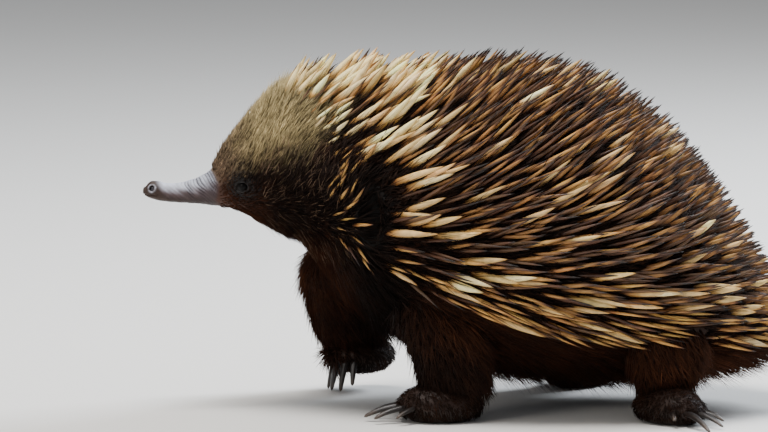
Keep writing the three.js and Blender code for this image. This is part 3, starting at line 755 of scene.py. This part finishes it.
def claw(foot_name, index):
    """One claw: ridged, flat underneath, and bent down to the ground."""
    root, direction, length, width = toe_line(foot_name, index)
    side = np.cross(direction, (0, 0, 1))
    side /= np.linalg.norm(side)
    tip = root + direction * length
    tip[2] = max(tip[2], CLAW_TIP_HEIGHT)
    bend = (root + tip) / 2 + np.array([0, 0, CLAW_BEND * length])

    def place(along, angle):
        t = along[:, None]
        middle = (1 - t) ** 2 * root + 2 * t * (1 - t) * bend + t**2 * tip
        forward = 2 * (1 - t) * (bend - root) + 2 * t * (tip - bend)
        up = np.cross(side, forward)
        up /= np.linalg.norm(up, axis=1)[:, None]
        closing = np.sqrt(np.clip(1 - np.clip((along - (1 - TIP_SHARE)) / TIP_SHARE, 0, 1) ** 2, 0, 1))
        closing *= np.sqrt(np.clip(1 - np.clip((ROOT_CAP - along) / ROOT_CAP, 0, 1) ** 2, 0, 1))
        half = width / 2 * (1 - CLAW_TAPER * along**1.8) * closing
        ridge = 1 + 0.05 * np.cos(6 * angle)
        hollow = np.where(np.sin(angle) < 0, 0.62, 1.0)
        across = (half * ridge * np.cos(angle))[:, None] * side
        upright = (0.8 * half * ridge * hollow * np.sin(angle))[:, None] * up
        points = middle + across + upright
        points[:, 2] = np.maximum(points[:, 2], CLAW_LOWEST)
        return points

    name = f"{foot_name}_claw_{index + 1}"
    piece = rolled(name + "_horn", CLAW_RINGS, CLAW_SIDES, place)
    far = np.linalg.norm(read_points(piece) - root, axis=1) / length
    worn = 0.55 * smooth_step(far, 0.55, 1.0)
    paint(piece, "tone", mix(np.tile(CLAW_DARK, (len(far), 1)), CLAW_PALE, worn))
    only(piece)
    bpy.ops.object.shade_smooth()
    finished(piece, CLAW_FINISH, "claw_horn", name)


for foot_name in FEET:
    for index in TOES:
        claw(foot_name, index)
print("claws:", len(TOES) * len(FEET))

# %% [markdown]
# The eye is small and dark, and it sits deep between the lids. It is a ball whose front bulges a little,
# like the real cornea. A thin wet coat gives it a faint highlight. Its colour is darkest at the pupil.

# %% Eyes
EYE_SHIFT = np.array([0.9, -0.5, 0.0])  # the ball lies behind and inside the middle of the lids
CORNEA = 0.35
EYE_BROWN = tone("080605")
EYE_RIM = tone("120e0d")
for side_name, side in (("left", -1), ("right", 1)):
    centre = (EYE + EYE_SHIFT) * (1, side, 1)
    ball = egg(side_name + "_eyeball", centre, (EYE_RADIUS,) * 3)
    points = read_points(ball)
    off = (points - centre) / EYE_RADIUS
    facing = np.degrees(np.arccos(np.clip(off[:, 1] * side, -1, 1)))
    cornea = CORNEA * smooth_step(facing, 42, 20)
    write_points(ball, points + off * cornea[:, None])
    paint(ball, "tone", mix(np.tile(EYE_BROWN, (len(off), 1)), EYE_RIM, smooth_step(facing, 30, 50)))
    only(ball)
    bpy.ops.object.shade_smooth()
    finished(ball, EYE_FINISH, "eye", side_name + "_eye")

# %% [markdown]
# Fur and spines are thousands of small closed shapes. One tuft is modelled as a few rings of points and a
# tip, and the same pattern is repeated over a whole array of roots at once. Particle hair would be quicker
# to comb, but a solid tuft is a real shape from every side and in every program.

# %% Growing many tufts at once
def unit(vectors):
    """Vectors brought to the length of one."""
    return vectors / np.maximum(np.linalg.norm(vectors, axis=-1, keepdims=True), 1e-9)


TUFT_PATCH = 0.003  # width of one tuft's patch in the unwrap
SHEET_LENGTH = 420.0  # the trunk's sheet and a leg's strip in the unwrap reach a little past the skin
STRIP_TOP = 110
STRIP_LENGTH = 180
LOWEST_HAIR = 0.3


def unwrap(points):
    """The place of roots on the skin rolled out flat: along the body, and round it."""
    angle, _ = trunk_angle(points)
    along = (points[:, 0] - BEAK_TIP[0] + 10) / SHEET_LENGTH
    return np.column_stack([along, 0.01 + 0.98 * (angle / (2 * math.pi) % 1.0)])


def unwrap_legs(points):
    """The place of roots on the legs: each leg is rolled out as a strip of its own, from hip to claws."""
    z = np.clip(points[:, 2], 0, STRIP_TOP)
    best = np.full(len(points), np.inf)
    place = np.zeros((len(points), 2))
    for number, rows in enumerate(LIMBS.values()):
        x, y, _, _ = limb_section(rows, z)
        off = points[:, :2] - np.column_stack([x, y])
        reach = np.linalg.norm(off, axis=1)
        round_it = np.arctan2(off[:, 1], off[:, 0]) / (2 * math.pi) % 1.0
        nearer = reach < best
        best[nearer] = reach[nearer]
        across = (number + 0.02 + 0.96 * round_it) / len(LIMBS)
        strip = np.column_stack([across, 0.01 + (STRIP_TOP - z + reach) / STRIP_LENGTH])
        place[nearer] = strip[nearer]
    return place


def grow_tufts(name, roots, normals, directions, lengths, widths, shape, sides, colours, bend, sink,
               flat=1.0, unwrapped=unwrap):
    """Closed tufts in one mesh. shape is rows of (share of the length, share of the width), and colours has
    one colour for each row and one for the tip."""
    shape = np.array(shape)
    count, rings = len(roots), len(shape)
    side = unit(np.cross(directions, normals))
    up = np.cross(side, directions)
    t = np.append(shape[:, 0], 1.0)
    middle = roots[:, None] + directions[:, None] * (lengths[:, None] * t)[..., None]
    middle += bend[:, None] * (t**2)[None, :, None]
    middle[:, 0] -= normals * sink
    turn = 2 * math.pi * np.arange(sides) / sides
    half = 0.5 * widths[:, None] * shape[:, 1]
    across = side[:, None, None] * (half[..., None] * np.cos(turn))[..., None]
    upright = up[:, None, None] * (half[..., None] * np.sin(turn) * flat)[..., None]
    body = middle[:, :-1, None] + across + upright
    points = np.concatenate([body.reshape(count, rings * sides, 3), middle[:, -1:]], axis=1)
    points[..., 2] = np.maximum(points[..., 2], LOWEST_HAIR)
    size = rings * sides + 1

    # One tuft's faces: the sunk end, the bands between rings, and the fan at the tip.
    faces = [list(range(sides))[::-1]]
    for ring in range(rings - 1):
        for k in range(sides):
            a, b = ring * sides + k, ring * sides + (k + 1) % sides
            faces.append([a, b, b + sides, a + sides])
    last = (rings - 1) * sides
    faces += [[last + k, last + (k + 1) % sides, size - 1] for k in range(sides)]
    corners = np.array([i for face in faces for i in face])
    starts = np.cumsum([0] + [len(face) for face in faces[:-1]])
    first = np.arange(count)[:, None]
    all_corners = (first * size + corners).ravel()
    all_starts = (first * len(corners) + starts).ravel()

    mesh = bpy.data.meshes.new(name)
    mesh.vertices.add(count * size)
    mesh.loops.add(len(all_corners))
    mesh.polygons.add(len(all_starts))
    mesh.vertices.foreach_set("co", (points * MM).ravel())
    mesh.loops.foreach_set("vertex_index", all_corners)
    mesh.polygons.foreach_set("loop_start", all_starts)
    mesh.polygons.foreach_set("use_smooth", np.ones(len(all_starts), bool))
    mesh.update(calc_edges=True)
    piece = bpy.data.objects.new(name, mesh)
    bpy.context.scene.collection.objects.link(piece)

    painted = np.repeat(colours[:, :-1], sides, axis=1)
    paint(piece, "tone", np.concatenate([painted, colours[:, -1:]], axis=1).reshape(-1, 3))
    patch = np.empty((count, size, 2))
    patch[:, :-1, 0] = np.tile(0.5 * np.cos(turn), rings)
    patch[:, :-1, 1] = np.repeat(shape[:, 0] - 0.5, sides)
    patch[:, -1] = (0.0, 0.5)
    placed = unwrapped(roots)[:, None] + TUFT_PATCH * patch
    layer = mesh.uv_layers.new(name="OFBake")
    layer.data.foreach_set("uv", placed.reshape(-1, 2)[all_corners].ravel())
    return piece


# %% [markdown]
# Roots are drawn evenly over the skin: its triangles are laid end to end by area, and one root is dropped
# in each equal share, jittered a little. A rule then says where each kind of hair may stay. The triangles
# are put in an order of their own first, so that every run gives the same coat.

# %% Roots over the skin
CELL = 2.0


class Surface:
    """The skin's triangles, with their areas and corner normals, ready for sampling."""

    def __init__(self, piece):
        mesh = piece.data
        mesh.calc_loop_triangles()
        corners = np.empty(len(mesh.loop_triangles) * 3, np.int32)
        mesh.loop_triangles.foreach_get("vertices", corners)
        self.points = read_points(piece)
        self.normals = point_normals(piece)
        self.corners = self.in_order(corners.reshape(-1, 3))
        a, b, c = (self.points[self.corners[:, k]] for k in range(3))
        self.areas = np.linalg.norm(np.cross(b - a, c - a), axis=1) / 2

    def in_order(self, corners):
        """The triangles cell by cell from the soles up. The union may number its faces in another order
        each time, and this way the same seed still gives the same roots."""
        rank = self.points @ np.array([0.137, 0.0731, 1.0])  # no two corners of a triangle are level in this
        corners = np.take_along_axis(corners, np.argsort(rank[corners], axis=1), axis=1)
        middles = self.points[corners].mean(axis=1)
        cells = np.floor(middles / CELL)
        return corners[np.lexsort((*middles.T, cells[:, 1], cells[:, 0], cells[:, 2]))]

    def roots(self, where, spacing, seed):
        """Roots about one spacing apart where the rule gives 1, and fewer where it gives less."""
        draw = np.random.default_rng(seed)
        travelled = np.cumsum(self.areas)
        count = int(travelled[-1] / spacing**2)
        picks = np.searchsorted(travelled, (np.arange(count) + draw.random(count)) / count * travelled[-1])
        picks = np.minimum(picks, len(self.areas) - 1)
        one, two = draw.random(count), draw.random(count)
        fold = one + two > 1
        one[fold], two[fold] = 1 - one[fold], 1 - two[fold]
        weights = np.column_stack([1 - one - two, one, two])[..., None]
        places = (self.points[self.corners[picks]] * weights).sum(axis=1)
        facing = unit((self.normals[self.corners[picks]] * weights).sum(axis=1))
        kept = draw.random(count) < where(places)
        return places[kept], facing[kept]


surface = Surface(skin)
print("skin area in square metres:", round(surface.areas.sum() * MM * MM, 3))

# %% [markdown]
# Hair and spines lie along one flow, as if the animal had been stroked from the beak to the tail. On the
# face it runs steeply up and back, on the back it rises, along the flank it is level, and at the fringe and
# on the legs it hangs.

# %% The lie of the coat
# The lower edge of the spiny coat as (X, height), and its front edge as (height, X).
LOWEST_SPINES = np.array([
    (-100, 106), (-84, 95), (-64, 84), (-22, 64), (11, 54), (56, 46), (112, 42), (158, 40),
])
FOREMOST_SPINES = np.array([(85, -86), (105, -97), (125, -98), (145, -102), (165, -115), (180, -136)])


def lowest_spine(x):
    """The height of the spiny coat's lower edge."""
    return np.interp(x, *LOWEST_SPINES.T)


def over_trunk(points):
    """How far outside the trunk's skin a place is, in millimetres."""
    _, share = trunk_angle(points)
    middle = trunk_size(points[:, 0])[3]
    return (1 - 1 / share) * np.hypot(points[:, 1], points[:, 2] - middle)


CLEAR_OF_TRUNK = 1.5  # a place farther than this outside the trunk's skin is on a leg or the tail
LIMB_TOP = 92


def on_limb(points):
    inside = points[:, 0] < RUMP_END[0] - 2
    return (over_trunk(points) > CLEAR_OF_TRUNK) & inside & (points[:, 2] < LIMB_TOP)


def on_foot(points):
    found = np.zeros(len(points), bool)
    for middle, half, _, _, _ in FEET.values():
        off = points - middle
        near = np.linalg.norm(off[:, :2], axis=1) < max(half) + 6
        found |= near & (points[:, 2] < middle[2] + half[2] - 1)
    return found & on_limb(points)


def back_lie(x, z):
    """The slant of the coat on the body in degrees: steep along the top, level below, then downwards."""
    level = np.clip(100 - 0.3 * (x + 50), 55, 105)
    steepest = np.clip(40 - 0.1 * (x + 50), 34, 47)
    return np.clip(np.where(z > level, 0.6, 0.25) * (z - level), -11, steepest)


def before_ear(points):
    """1 in the patch of short steep spines in front of the ear."""
    x, _, z = points.T
    return smooth_step(x, -106, -98) * smooth_step(x, -72, -82) * smooth_step(z, 142, 130)


def lie_of(points):
    """The direction that the coat is combed in, before it is laid on the surface."""
    x, _, z = points.T
    face = np.clip(8 + 1.15 * (z - 101), -22, 54)
    behind_face = smooth_step(x, -100, -74) + smooth_step(z, 135, 150) * smooth_step(x, -126, -100)
    degrees = face + (back_lie(x, z) - face) * np.clip(behind_face, 0, 1)
    degrees += (np.clip(4.0 * (z - 105), -35, 47) - degrees) * before_ear(points)
    slant = np.radians(degrees)
    lie = np.column_stack([np.cos(slant), np.zeros(len(x)), np.sin(slant)])
    hanging = unit(np.array([[0.35, 0.0, -1.0]]))
    belly = smooth_step(z, lowest_spine(x) - 2, lowest_spine(x) - 22) * smooth_step(x, -106, -80)
    lie = mix(lie, hanging, 0.7 * belly)
    return mix(lie, hanging, on_limb(points) * 1.0)


def laid(points, normals, lift_degrees, draw, wander=0.0):
    """The lie of the coat on the surface, lifted off it, each a little different."""
    lie = lie_of(points) + draw.normal(0, 1, points.shape) * wander
    along = unit(lie - normals * (lie * normals).sum(axis=1, keepdims=True))
    lift = np.radians(lift_degrees)
    return unit(along * np.cos(lift)[:, None] + normals * np.sin(lift)[:, None])


# %% [markdown]
# The short fur comes in crops. The head has the finest and shortest, khaki, combed close. Each tuft is
# painted darker at its root for the shade deep in the coat and paler at its tip for painted highlight. Dark
# brown fur fills the space between the spines. Long loose hair hangs from throat, belly and legs, and the
# feet have a short pile. Every crop is the same call with its own sizes.

# %% Crops of fur
FUR_SHAPE = [(0.0, 0.75), (0.45, 1.0)]
FUR_SIDES = 3
FUR_SINK = 0.8
FUR_FLATNESS = 0.6


def lock_of(roots, tufts_per_lock, draw):
    """The number of the lock that each root belongs to, and the place of that lock's middle."""
    middles = draw.choice(len(roots), max(1, len(roots) // tufts_per_lock), replace=False)
    grid = KDTree(len(middles))
    for number, root in enumerate(roots[middles]):
        grid.insert(root, number)
    grid.balance()
    nearest = np.array([grid.find(root)[1] for root in roots])
    return nearest, roots[middles[nearest]]


def value_at(rule, roots):
    """A size that may be one number or a rule of the place."""
    return rule(roots) if callable(rule) else np.full(len(roots), float(rule))


def crop(name, where, spacing, length, width, lift, seed, slot_name, wander=0.12, root_shade=0.4,
         tip_highlight=1.3, droop=0.12, tint=markings, stray=0.0, gather=0.55, tufts_per_lock=12,
         unwrapped=unwrap):
    """One crop of fur. stray is how far, in millimetres, a tuft's colour may be taken from its root."""
    draw = np.random.default_rng(seed)
    roots, normals = surface.roots(where, spacing, seed)
    count = len(roots)
    lengths = value_at(length, roots) * draw.uniform(0.7, 1.25, count)
    lifts = value_at(lift, roots) + draw.normal(0, 3.0, count)
    directions = laid(roots, normals, lifts, draw, wander)
    lock, middle = lock_of(roots, tufts_per_lock, draw)
    base = tint(roots + stray * draw.normal(0, 1, roots.shape))
    base = base * draw.lognormal(0.0, 0.22, count)[:, None] * draw.lognormal(0.0, 0.2, count)[lock][:, None]
    # Each tuft is painted darker at its root for the shade deep in the coat and paler at its tip for painted
    # highlight.
    shades = np.linspace(root_shade, tip_highlight, len(FUR_SHAPE) + 1)
    colours = base[:, None] * shades[None, :, None]
    pull = middle - roots
    pull -= normals * (pull * normals).sum(axis=1, keepdims=True)
    bend = gather * pull - normals * (droop * lengths)[:, None]
    bend += draw.normal(0, 0.05, (count, 3)) * lengths[:, None]
    widths = width * draw.uniform(0.75, 1.25, count)
    piece = grow_tufts(name, roots, normals, directions, lengths, widths, FUR_SHAPE, FUR_SIDES,
                       np.clip(colours, 0, 1), bend, FUR_SINK, FUR_FLATNESS, unwrapped)
    finished(piece, FUR_FINISH, slot_name)
    triangles = count * (2 * FUR_SIDES * (len(FUR_SHAPE) - 1) + FUR_SIDES + 1)
    print(name, count, "tufts", triangles, "triangles")


def spiny(points):
    """1 in the spiny coat, 0 outside it, and 0 over the ear's opening."""
    x, _, z = points.T
    front = np.interp(z, *FOREMOST_SPINES.T)
    clear_of_ear = ear_distance(points) > np.where(x > EAR[0], 1.05, 1.45)
    inside = (z > lowest_spine(x)) & (x > front) & clear_of_ear
    return inside & ((over_trunk(points) < CLEAR_OF_TRUNK) | (x > TAIL_ROOT))


def behind_front(points):
    """How far behind the front edge of the spiny coat a root is."""
    return points[:, 0] - np.interp(points[:, 2], *FOREMOST_SPINES.T)


def furred_face(points):
    """How thick the fur of the head is, from the bare beak to where it thins out among the spines."""
    x, _, z = points.T
    starts = smooth_step(x - beak_edge(z), -0.5, 2.0)
    bare_below = 0.2 * smooth_step(x, -134, -148) * smooth_step(z, 119, 113)
    clear_of_eye = smooth_step(mirrored_distance(points, EYE, (1.1, 1.4, 1.0)), 3.5, 4.3)
    among_spines = np.where(spiny(points), smooth_step(behind_front(points), 24, 4), x < -92)
    return starts * (1 - bare_below) * clear_of_eye * among_spines


def on_ridge(points):
    """1 along the top of the trunk, 0 on its sides."""
    return smooth_step(np.sin(trunk_angle(points)[0]), 0.6, 0.95)


def head_length(points):
    """Short on the face and round the eye, longer on the crown, short again among the spines."""
    x = points[:, 0]
    near_eye = smooth_step(mirrored_distance(points, EYE), 5.0, 13.0)
    grown = 4.2 + 8.0 * smooth_step(x, -160, -124)
    among_spines = 0.35 * smooth_step(behind_front(points), 0, 10)
    return grown * (0.35 + 0.65 * near_eye) * (1 + 0.3 * on_ridge(points)) * (1 - among_spines)


def head_lift(points):
    """The fur lies close on the face and stands up along the forehead and the crown."""
    return 8 + 15 * smooth_step(points[:, 0], -152, -124) + 19 * on_ridge(points)


def body_fur(points):
    x = points[:, 0]
    return (~spiny(points)) & (x > -98) & (~on_limb(points)) & (ear_distance(points) > 0.8) & (x < 150)


def leg_fur(points):
    return on_limb(points) & (~on_foot(points)) & (points[:, 2] > 14)


def body_tint(points):
    """The markings in the darker tones of the long hair, redder near the lower spines and at the throat."""
    x, _, z = points.T
    rim = smooth_step(z, lowest_spine(x) - 34, lowest_spine(x) - 10) * smooth_step(x, -70, -30)
    front = smooth_step(x, -80, -100) * smooth_step(z, 100, 80)
    return mix(mix(0.8 * markings(points), CHESTNUT, 0.35 * rim), CHESTNUT, 0.3 * front)


def body_length(points):
    """Longer on the chest and under the belly, where the hair hangs."""
    x, _, z = points.T
    chest = smooth_step(x, -40, -70) * smooth_step(z, 110, 90)
    belly = smooth_step(z, 60, 40) * smooth_step(x, -70, -40)
    return 18 + 9 * np.maximum(chest, belly)


def under_tint(points):
    """Brown like the crown's edge among the first spines, and darker behind them."""
    return mix(0.8 * markings(points), DARK_BROWN * 0.75, smooth_step(behind_front(points), 10, 30))


def body_lift(points):
    """The hair hangs off the underside and lies closer elsewhere."""
    x, _, z = points.T
    return 18 + 24 * smooth_step(z, 46, 30) * smooth_step(x, -70, -40)


def bristly(points):
    """Sparse guard hairs between the spines, most of them on the nape and the shoulder."""
    return spiny(points) * (0.35 + 0.65 * smooth_step(points[:, 0], 30, -40))


def on_cheek(points):
    x, _, z = points.T
    return (x > -134) & (x < -84) & (z > 92) & (z < 146) & (ear_distance(points) > 1.3)


def on_crown(points):
    x, y, z = points.T
    return (x > -141) & (x < -127) & (np.abs(y) < 9) & (z > 155)


crop("head_fur_front", lambda p: furred_face(p) * (p[:, 0] < -128), 0.75, head_length, 0.65, head_lift, 11,
     "head_fur", stray=2.5)
for side_name, side in (("left", -1), ("right", 1)):
    crop(f"head_fur_{side_name}", lambda p: furred_face(p) * (p[:, 0] >= -128) * (side * p[:, 1] >= 0), 0.8,
         head_length, 0.7, head_lift, 12, "head_fur", stray=3.5)
crop("cheek_hair", on_cheek, 2.6, 13.0, 0.32, 27.0, 20, "head_fur", 0.25, 0.8, 1.7,
     tint=lambda p: np.tile(KHAKI_DEEP, (len(p), 1)), gather=0.0)
crop("crown_bristles", on_crown, 4.5, 6.5, 0.8, 50.0, 18, "head_fur", 0.3, 1.0, 1.5,
     tint=lambda p: np.tile(tone("c9bfa6"), (len(p), 1)))
crop("back_underfur_front", lambda p: spiny(p) * (p[:, 0] < 10), 1.9, 11.0, 1.4, 34.0, 13, "body_fur",
     tint=under_tint)
crop("back_underfur_rear", lambda p: spiny(p) * (p[:, 0] >= 10), 1.9, 11.0, 1.4, 34.0, 14, "body_fur",
     tint=under_tint)
crop("guard_hair", bristly, 2.6, 27.0, 0.42, 24.0, 19, "body_fur", 0.2, 0.7, 0.8, 0.05, under_tint,
     gather=0.0)
crop("body_hair", body_fur, 1.4, body_length, 0.75, body_lift, 15, "body_fur", tint=body_tint, wander=0.2)
crop("leg_hair", leg_fur, 1.3, 16.0, 0.75, 18.0, 16, "body_fur", tint=body_tint, wander=0.2,
     unwrapped=unwrap_legs)
crop("foot_fur", lambda p: on_foot(p) & (p[:, 2] > 3.5), 1.0, 4.2, 0.55, 24.0, 17, "foot_skin", wander=0.1,
     tint=body_tint, unwrapped=unwrap_legs)

# %% [markdown]
# The spines name the animal. Each is a stiff hollow hair, thickest below its middle and drawn out to a
# needle. Roots are kept a set distance apart, as in nature, by throwing candidates and keeping those that
# are far enough from all earlier ones. Seven kinds are mixed, from thick cream and ivory ones to thin dark
# ones. Cream and ivory ones crowd the nape and are scattered over the back, where most are brown or amber
# with black ends.

# %% Spines
IVORY = tone("f6dea4")
CREAM = tone("d9b67a")
CREAM_DEEP = tone("c39552")
AMBER = tone("85562b")
AMBER_PALE = tone("9c6f3d")
TAN_DULL = tone("5f432c")
SPINE_BROWN = tone("4a2d1c")
SPINE_BLACK = tone("19110e")
SPINE_SHAPE = [(0.0, 0.7), (0.14, 0.92), (0.3, 1.0), (0.47, 0.95), (0.64, 0.78), (0.8, 0.5), (0.92, 0.24)]
SPINE_SIDES = 6
SPINE_SPACING = 4.3
CANDIDATE_SPACING = 2.0
SPINE_SEED = 21
SPINE_SINK = 1.5
LONGEST = 32.0
SHORTEST = 17
PALE_LENGTH = 1.08  # how much longer the cream and ivory spines are
STRETCHES = [("neck", -140, -58), ("shoulder", -58, 18), ("loin", 18, 98), ("rump", 98, 200)]
# Colours at the rings of each kind, from the root to the tip. The dark rings at the root are partly the
# spine's own colour and partly painted shade where it leaves the fur.
DARK_END = [SPINE_BLACK, SPINE_BLACK]
TAN_RINGS = [SPINE_BLACK, SPINE_BROWN, AMBER, CREAM_DEEP, CREAM_DEEP, AMBER_PALE, SPINE_BROWN, SPINE_BLACK]
KINDS = {
    "dark": [SPINE_BLACK, SPINE_BLACK, SPINE_BROWN, SPINE_BROWN, SPINE_BROWN, SPINE_BLACK, *DARK_END],
    "dull": [SPINE_BLACK, SPINE_BLACK, SPINE_BROWN, TAN_DULL, TAN_DULL, SPINE_BROWN, *DARK_END],
    "amber": [SPINE_BLACK, SPINE_BROWN, AMBER, AMBER_PALE, AMBER_PALE, SPINE_BROWN, *DARK_END],
    "tan": TAN_RINGS,
    "fringe": TAN_RINGS,
    "cream": [SPINE_BROWN, AMBER, CREAM_DEEP, CREAM, CREAM, CREAM, CREAM_DEEP, SPINE_BROWN],
    "ivory": [SPINE_BROWN, AMBER, CREAM_DEEP, IVORY, IVORY, IVORY, CREAM, SPINE_BROWN],
}
KIND_WIDTH = {"dark": 2.0, "dull": 2.3, "amber": 2.5, "tan": 2.7, "fringe": 1.9, "cream": 4.0, "ivory": 4.7}
BACK_SHARES = {"dark": 0.2, "dull": 0.36, "amber": 0.36, "tan": 0.08}


def spread_out(points, distance):
    """Keeps points in turn, each at least a distance from all those kept before it."""
    grid = KDTree(len(points))
    for i, place in enumerate(points):
        grid.insert(place, i)
    grid.balance()
    alive = np.ones(len(points), bool)
    for i, place in enumerate(points):
        if not alive[i]:
            continue
        for _, j, _ in grid.find_range(place, distance):
            if j > i:
                alive[j] = False
    return alive


LEAST_LIFT = math.radians(20)


def spine_direction(points, normals, draw):
    """Spines follow the lie of the coat, each a little astray, and always stand off the skin."""
    combed = lie_of(points)
    slant = np.arctan2(combed[:, 2], combed[:, 0]) + np.radians(draw.normal(0, 5.5, len(points)))
    astray = draw.normal(0, 0.08, len(points))
    lie = unit(np.column_stack([np.cos(slant), astray, np.sin(slant)]) + 0.2 * normals)
    lift = np.maximum(np.arcsin(np.clip((lie * normals).sum(axis=1), -1, 1)), LEAST_LIFT)
    flat = unit(lie - normals * (lie * normals).sum(axis=1, keepdims=True))
    return flat * np.cos(lift)[:, None] + normals * np.sin(lift)[:, None], lift


def kinds_at(points, draw):
    """Which kind of spine grows at each root."""
    x, _, z = points.T
    above_fringe = z - lowest_spine(x)
    high = smooth_step(z, 116, 136)
    forward = smooth_step(x, -30, -62)
    cream = np.maximum(0.045, (0.34 + 0.24 * high) * smooth_step(x, -32, -66))
    cream = np.maximum(cream, 0.2 * smooth_step(above_fringe, 40, 22))
    cheek = 0.8 * smooth_step(behind_front(points), 18, 8) * smooth_step(z, 150, 136)
    cream *= 1 - np.maximum(cheek, before_ear(points))
    fringe = 0.6 * smooth_step(above_fringe, 22, 8)
    gaps = 0.42 * smooth_step(x, -10, -40) * (1 - high)
    chance = draw.random(len(points))
    back = draw.choice(list(BACK_SHARES), len(points), p=list(BACK_SHARES.values()))
    back = np.where(draw.random(len(points)) < gaps, "dark", back)
    tan = np.maximum(0.28 * high * forward, 0.75 * before_ear(points))
    back = np.where(draw.random(len(points)) < tan, "tan", back)
    pale = np.where(draw.random(len(points)) < 0.15 + 0.7 * forward * high, "ivory", "cream")
    kinds = np.where(chance < cream, pale, back)
    return np.where(draw.random(len(points)) < fringe, "fringe", kinds)


def spine_roots(draw):
    """Roots a set distance apart, with a few taken out on the nape."""
    roots, normals = surface.roots(lambda p: spiny(p) * 1.0, CANDIDATE_SPACING, SPINE_SEED)
    order = draw.permutation(len(roots))
    roots, normals = roots[order], normals[order]
    kept = spread_out(roots, SPINE_SPACING)
    thinned = 0.28 * smooth_step(roots[:, 0], -40, -64) * smooth_step(behind_front(roots), 4, 16)
    kept &= draw.random(len(roots)) > thinned
    return roots[kept], normals[kept]


def growth(roots):
    """How near a spine is to its full size: short at the front edge and before the ear."""
    grown = 0.42 + 0.58 * smooth_step(behind_front(roots), 0, 34)
    grown = np.maximum(grown, 0.58 * before_ear(roots))
    return np.maximum(grown, 0.78 * smooth_step(roots[:, 2], 150, 168))


def full_lengths(normals, lift, draw):
    """A spine that lies flatter is longer, so that all the tips stand about as far off the skin."""
    on_top = smooth_step(normals[:, 2], 0.4, 0.85)
    stand = (14.5 + 3.5 * on_top) * draw.uniform(0.86, 1.14, len(lift))
    longest = LONGEST * draw.uniform(0.85, 1.1, len(lift))
    return np.clip(stand / np.sin(lift), SHORTEST, longest)


def grow_spines():
    draw = np.random.default_rng(SPINE_SEED)
    roots, normals = spine_roots(draw)
    count = len(roots)
    directions, lift = spine_direction(roots, normals, draw)
    grown = growth(roots)
    lengths = grown * full_lengths(normals, lift, draw)
    kinds = kinds_at(roots, draw)
    colours = np.array([KINDS[kind] for kind in kinds])
    colours = colours * draw.lognormal(0.0, 0.16, (count, 1, 1)) * draw.lognormal(0.0, 0.03, (count, 1, 3))
    widths = np.array([KIND_WIDTH[kind] for kind in kinds]) * draw.uniform(0.82, 1.15, count)
    widths *= 0.45 + 0.55 * grown
    lengths *= np.where((kinds == "cream") | (kinds == "ivory"), PALE_LENGTH, 1.0)
    lengths *= 1 - 0.45 * smooth_step(roots[:, 0], TAIL_ROOT, TAIL_ROOT + 12)
    bend = draw.normal(0, 0.6, (count, 3)) - normals * draw.uniform(0.0, 1.6, count)[:, None]
    for name, start, end in STRETCHES:
        here = (roots[:, 0] >= start) & (roots[:, 0] < end)
        shades = np.clip(colours[here], 0, 1)
        piece = grow_tufts(name + "_spines", roots[here], normals[here], directions[here], lengths[here],
                           widths[here], SPINE_SHAPE, SPINE_SIDES, shades, bend[here], SPINE_SINK)
        finished(piece, SPINE_FINISH, "spiny_coat")
        print(piece.name, int(here.sum()), "spines")


grow_spines()
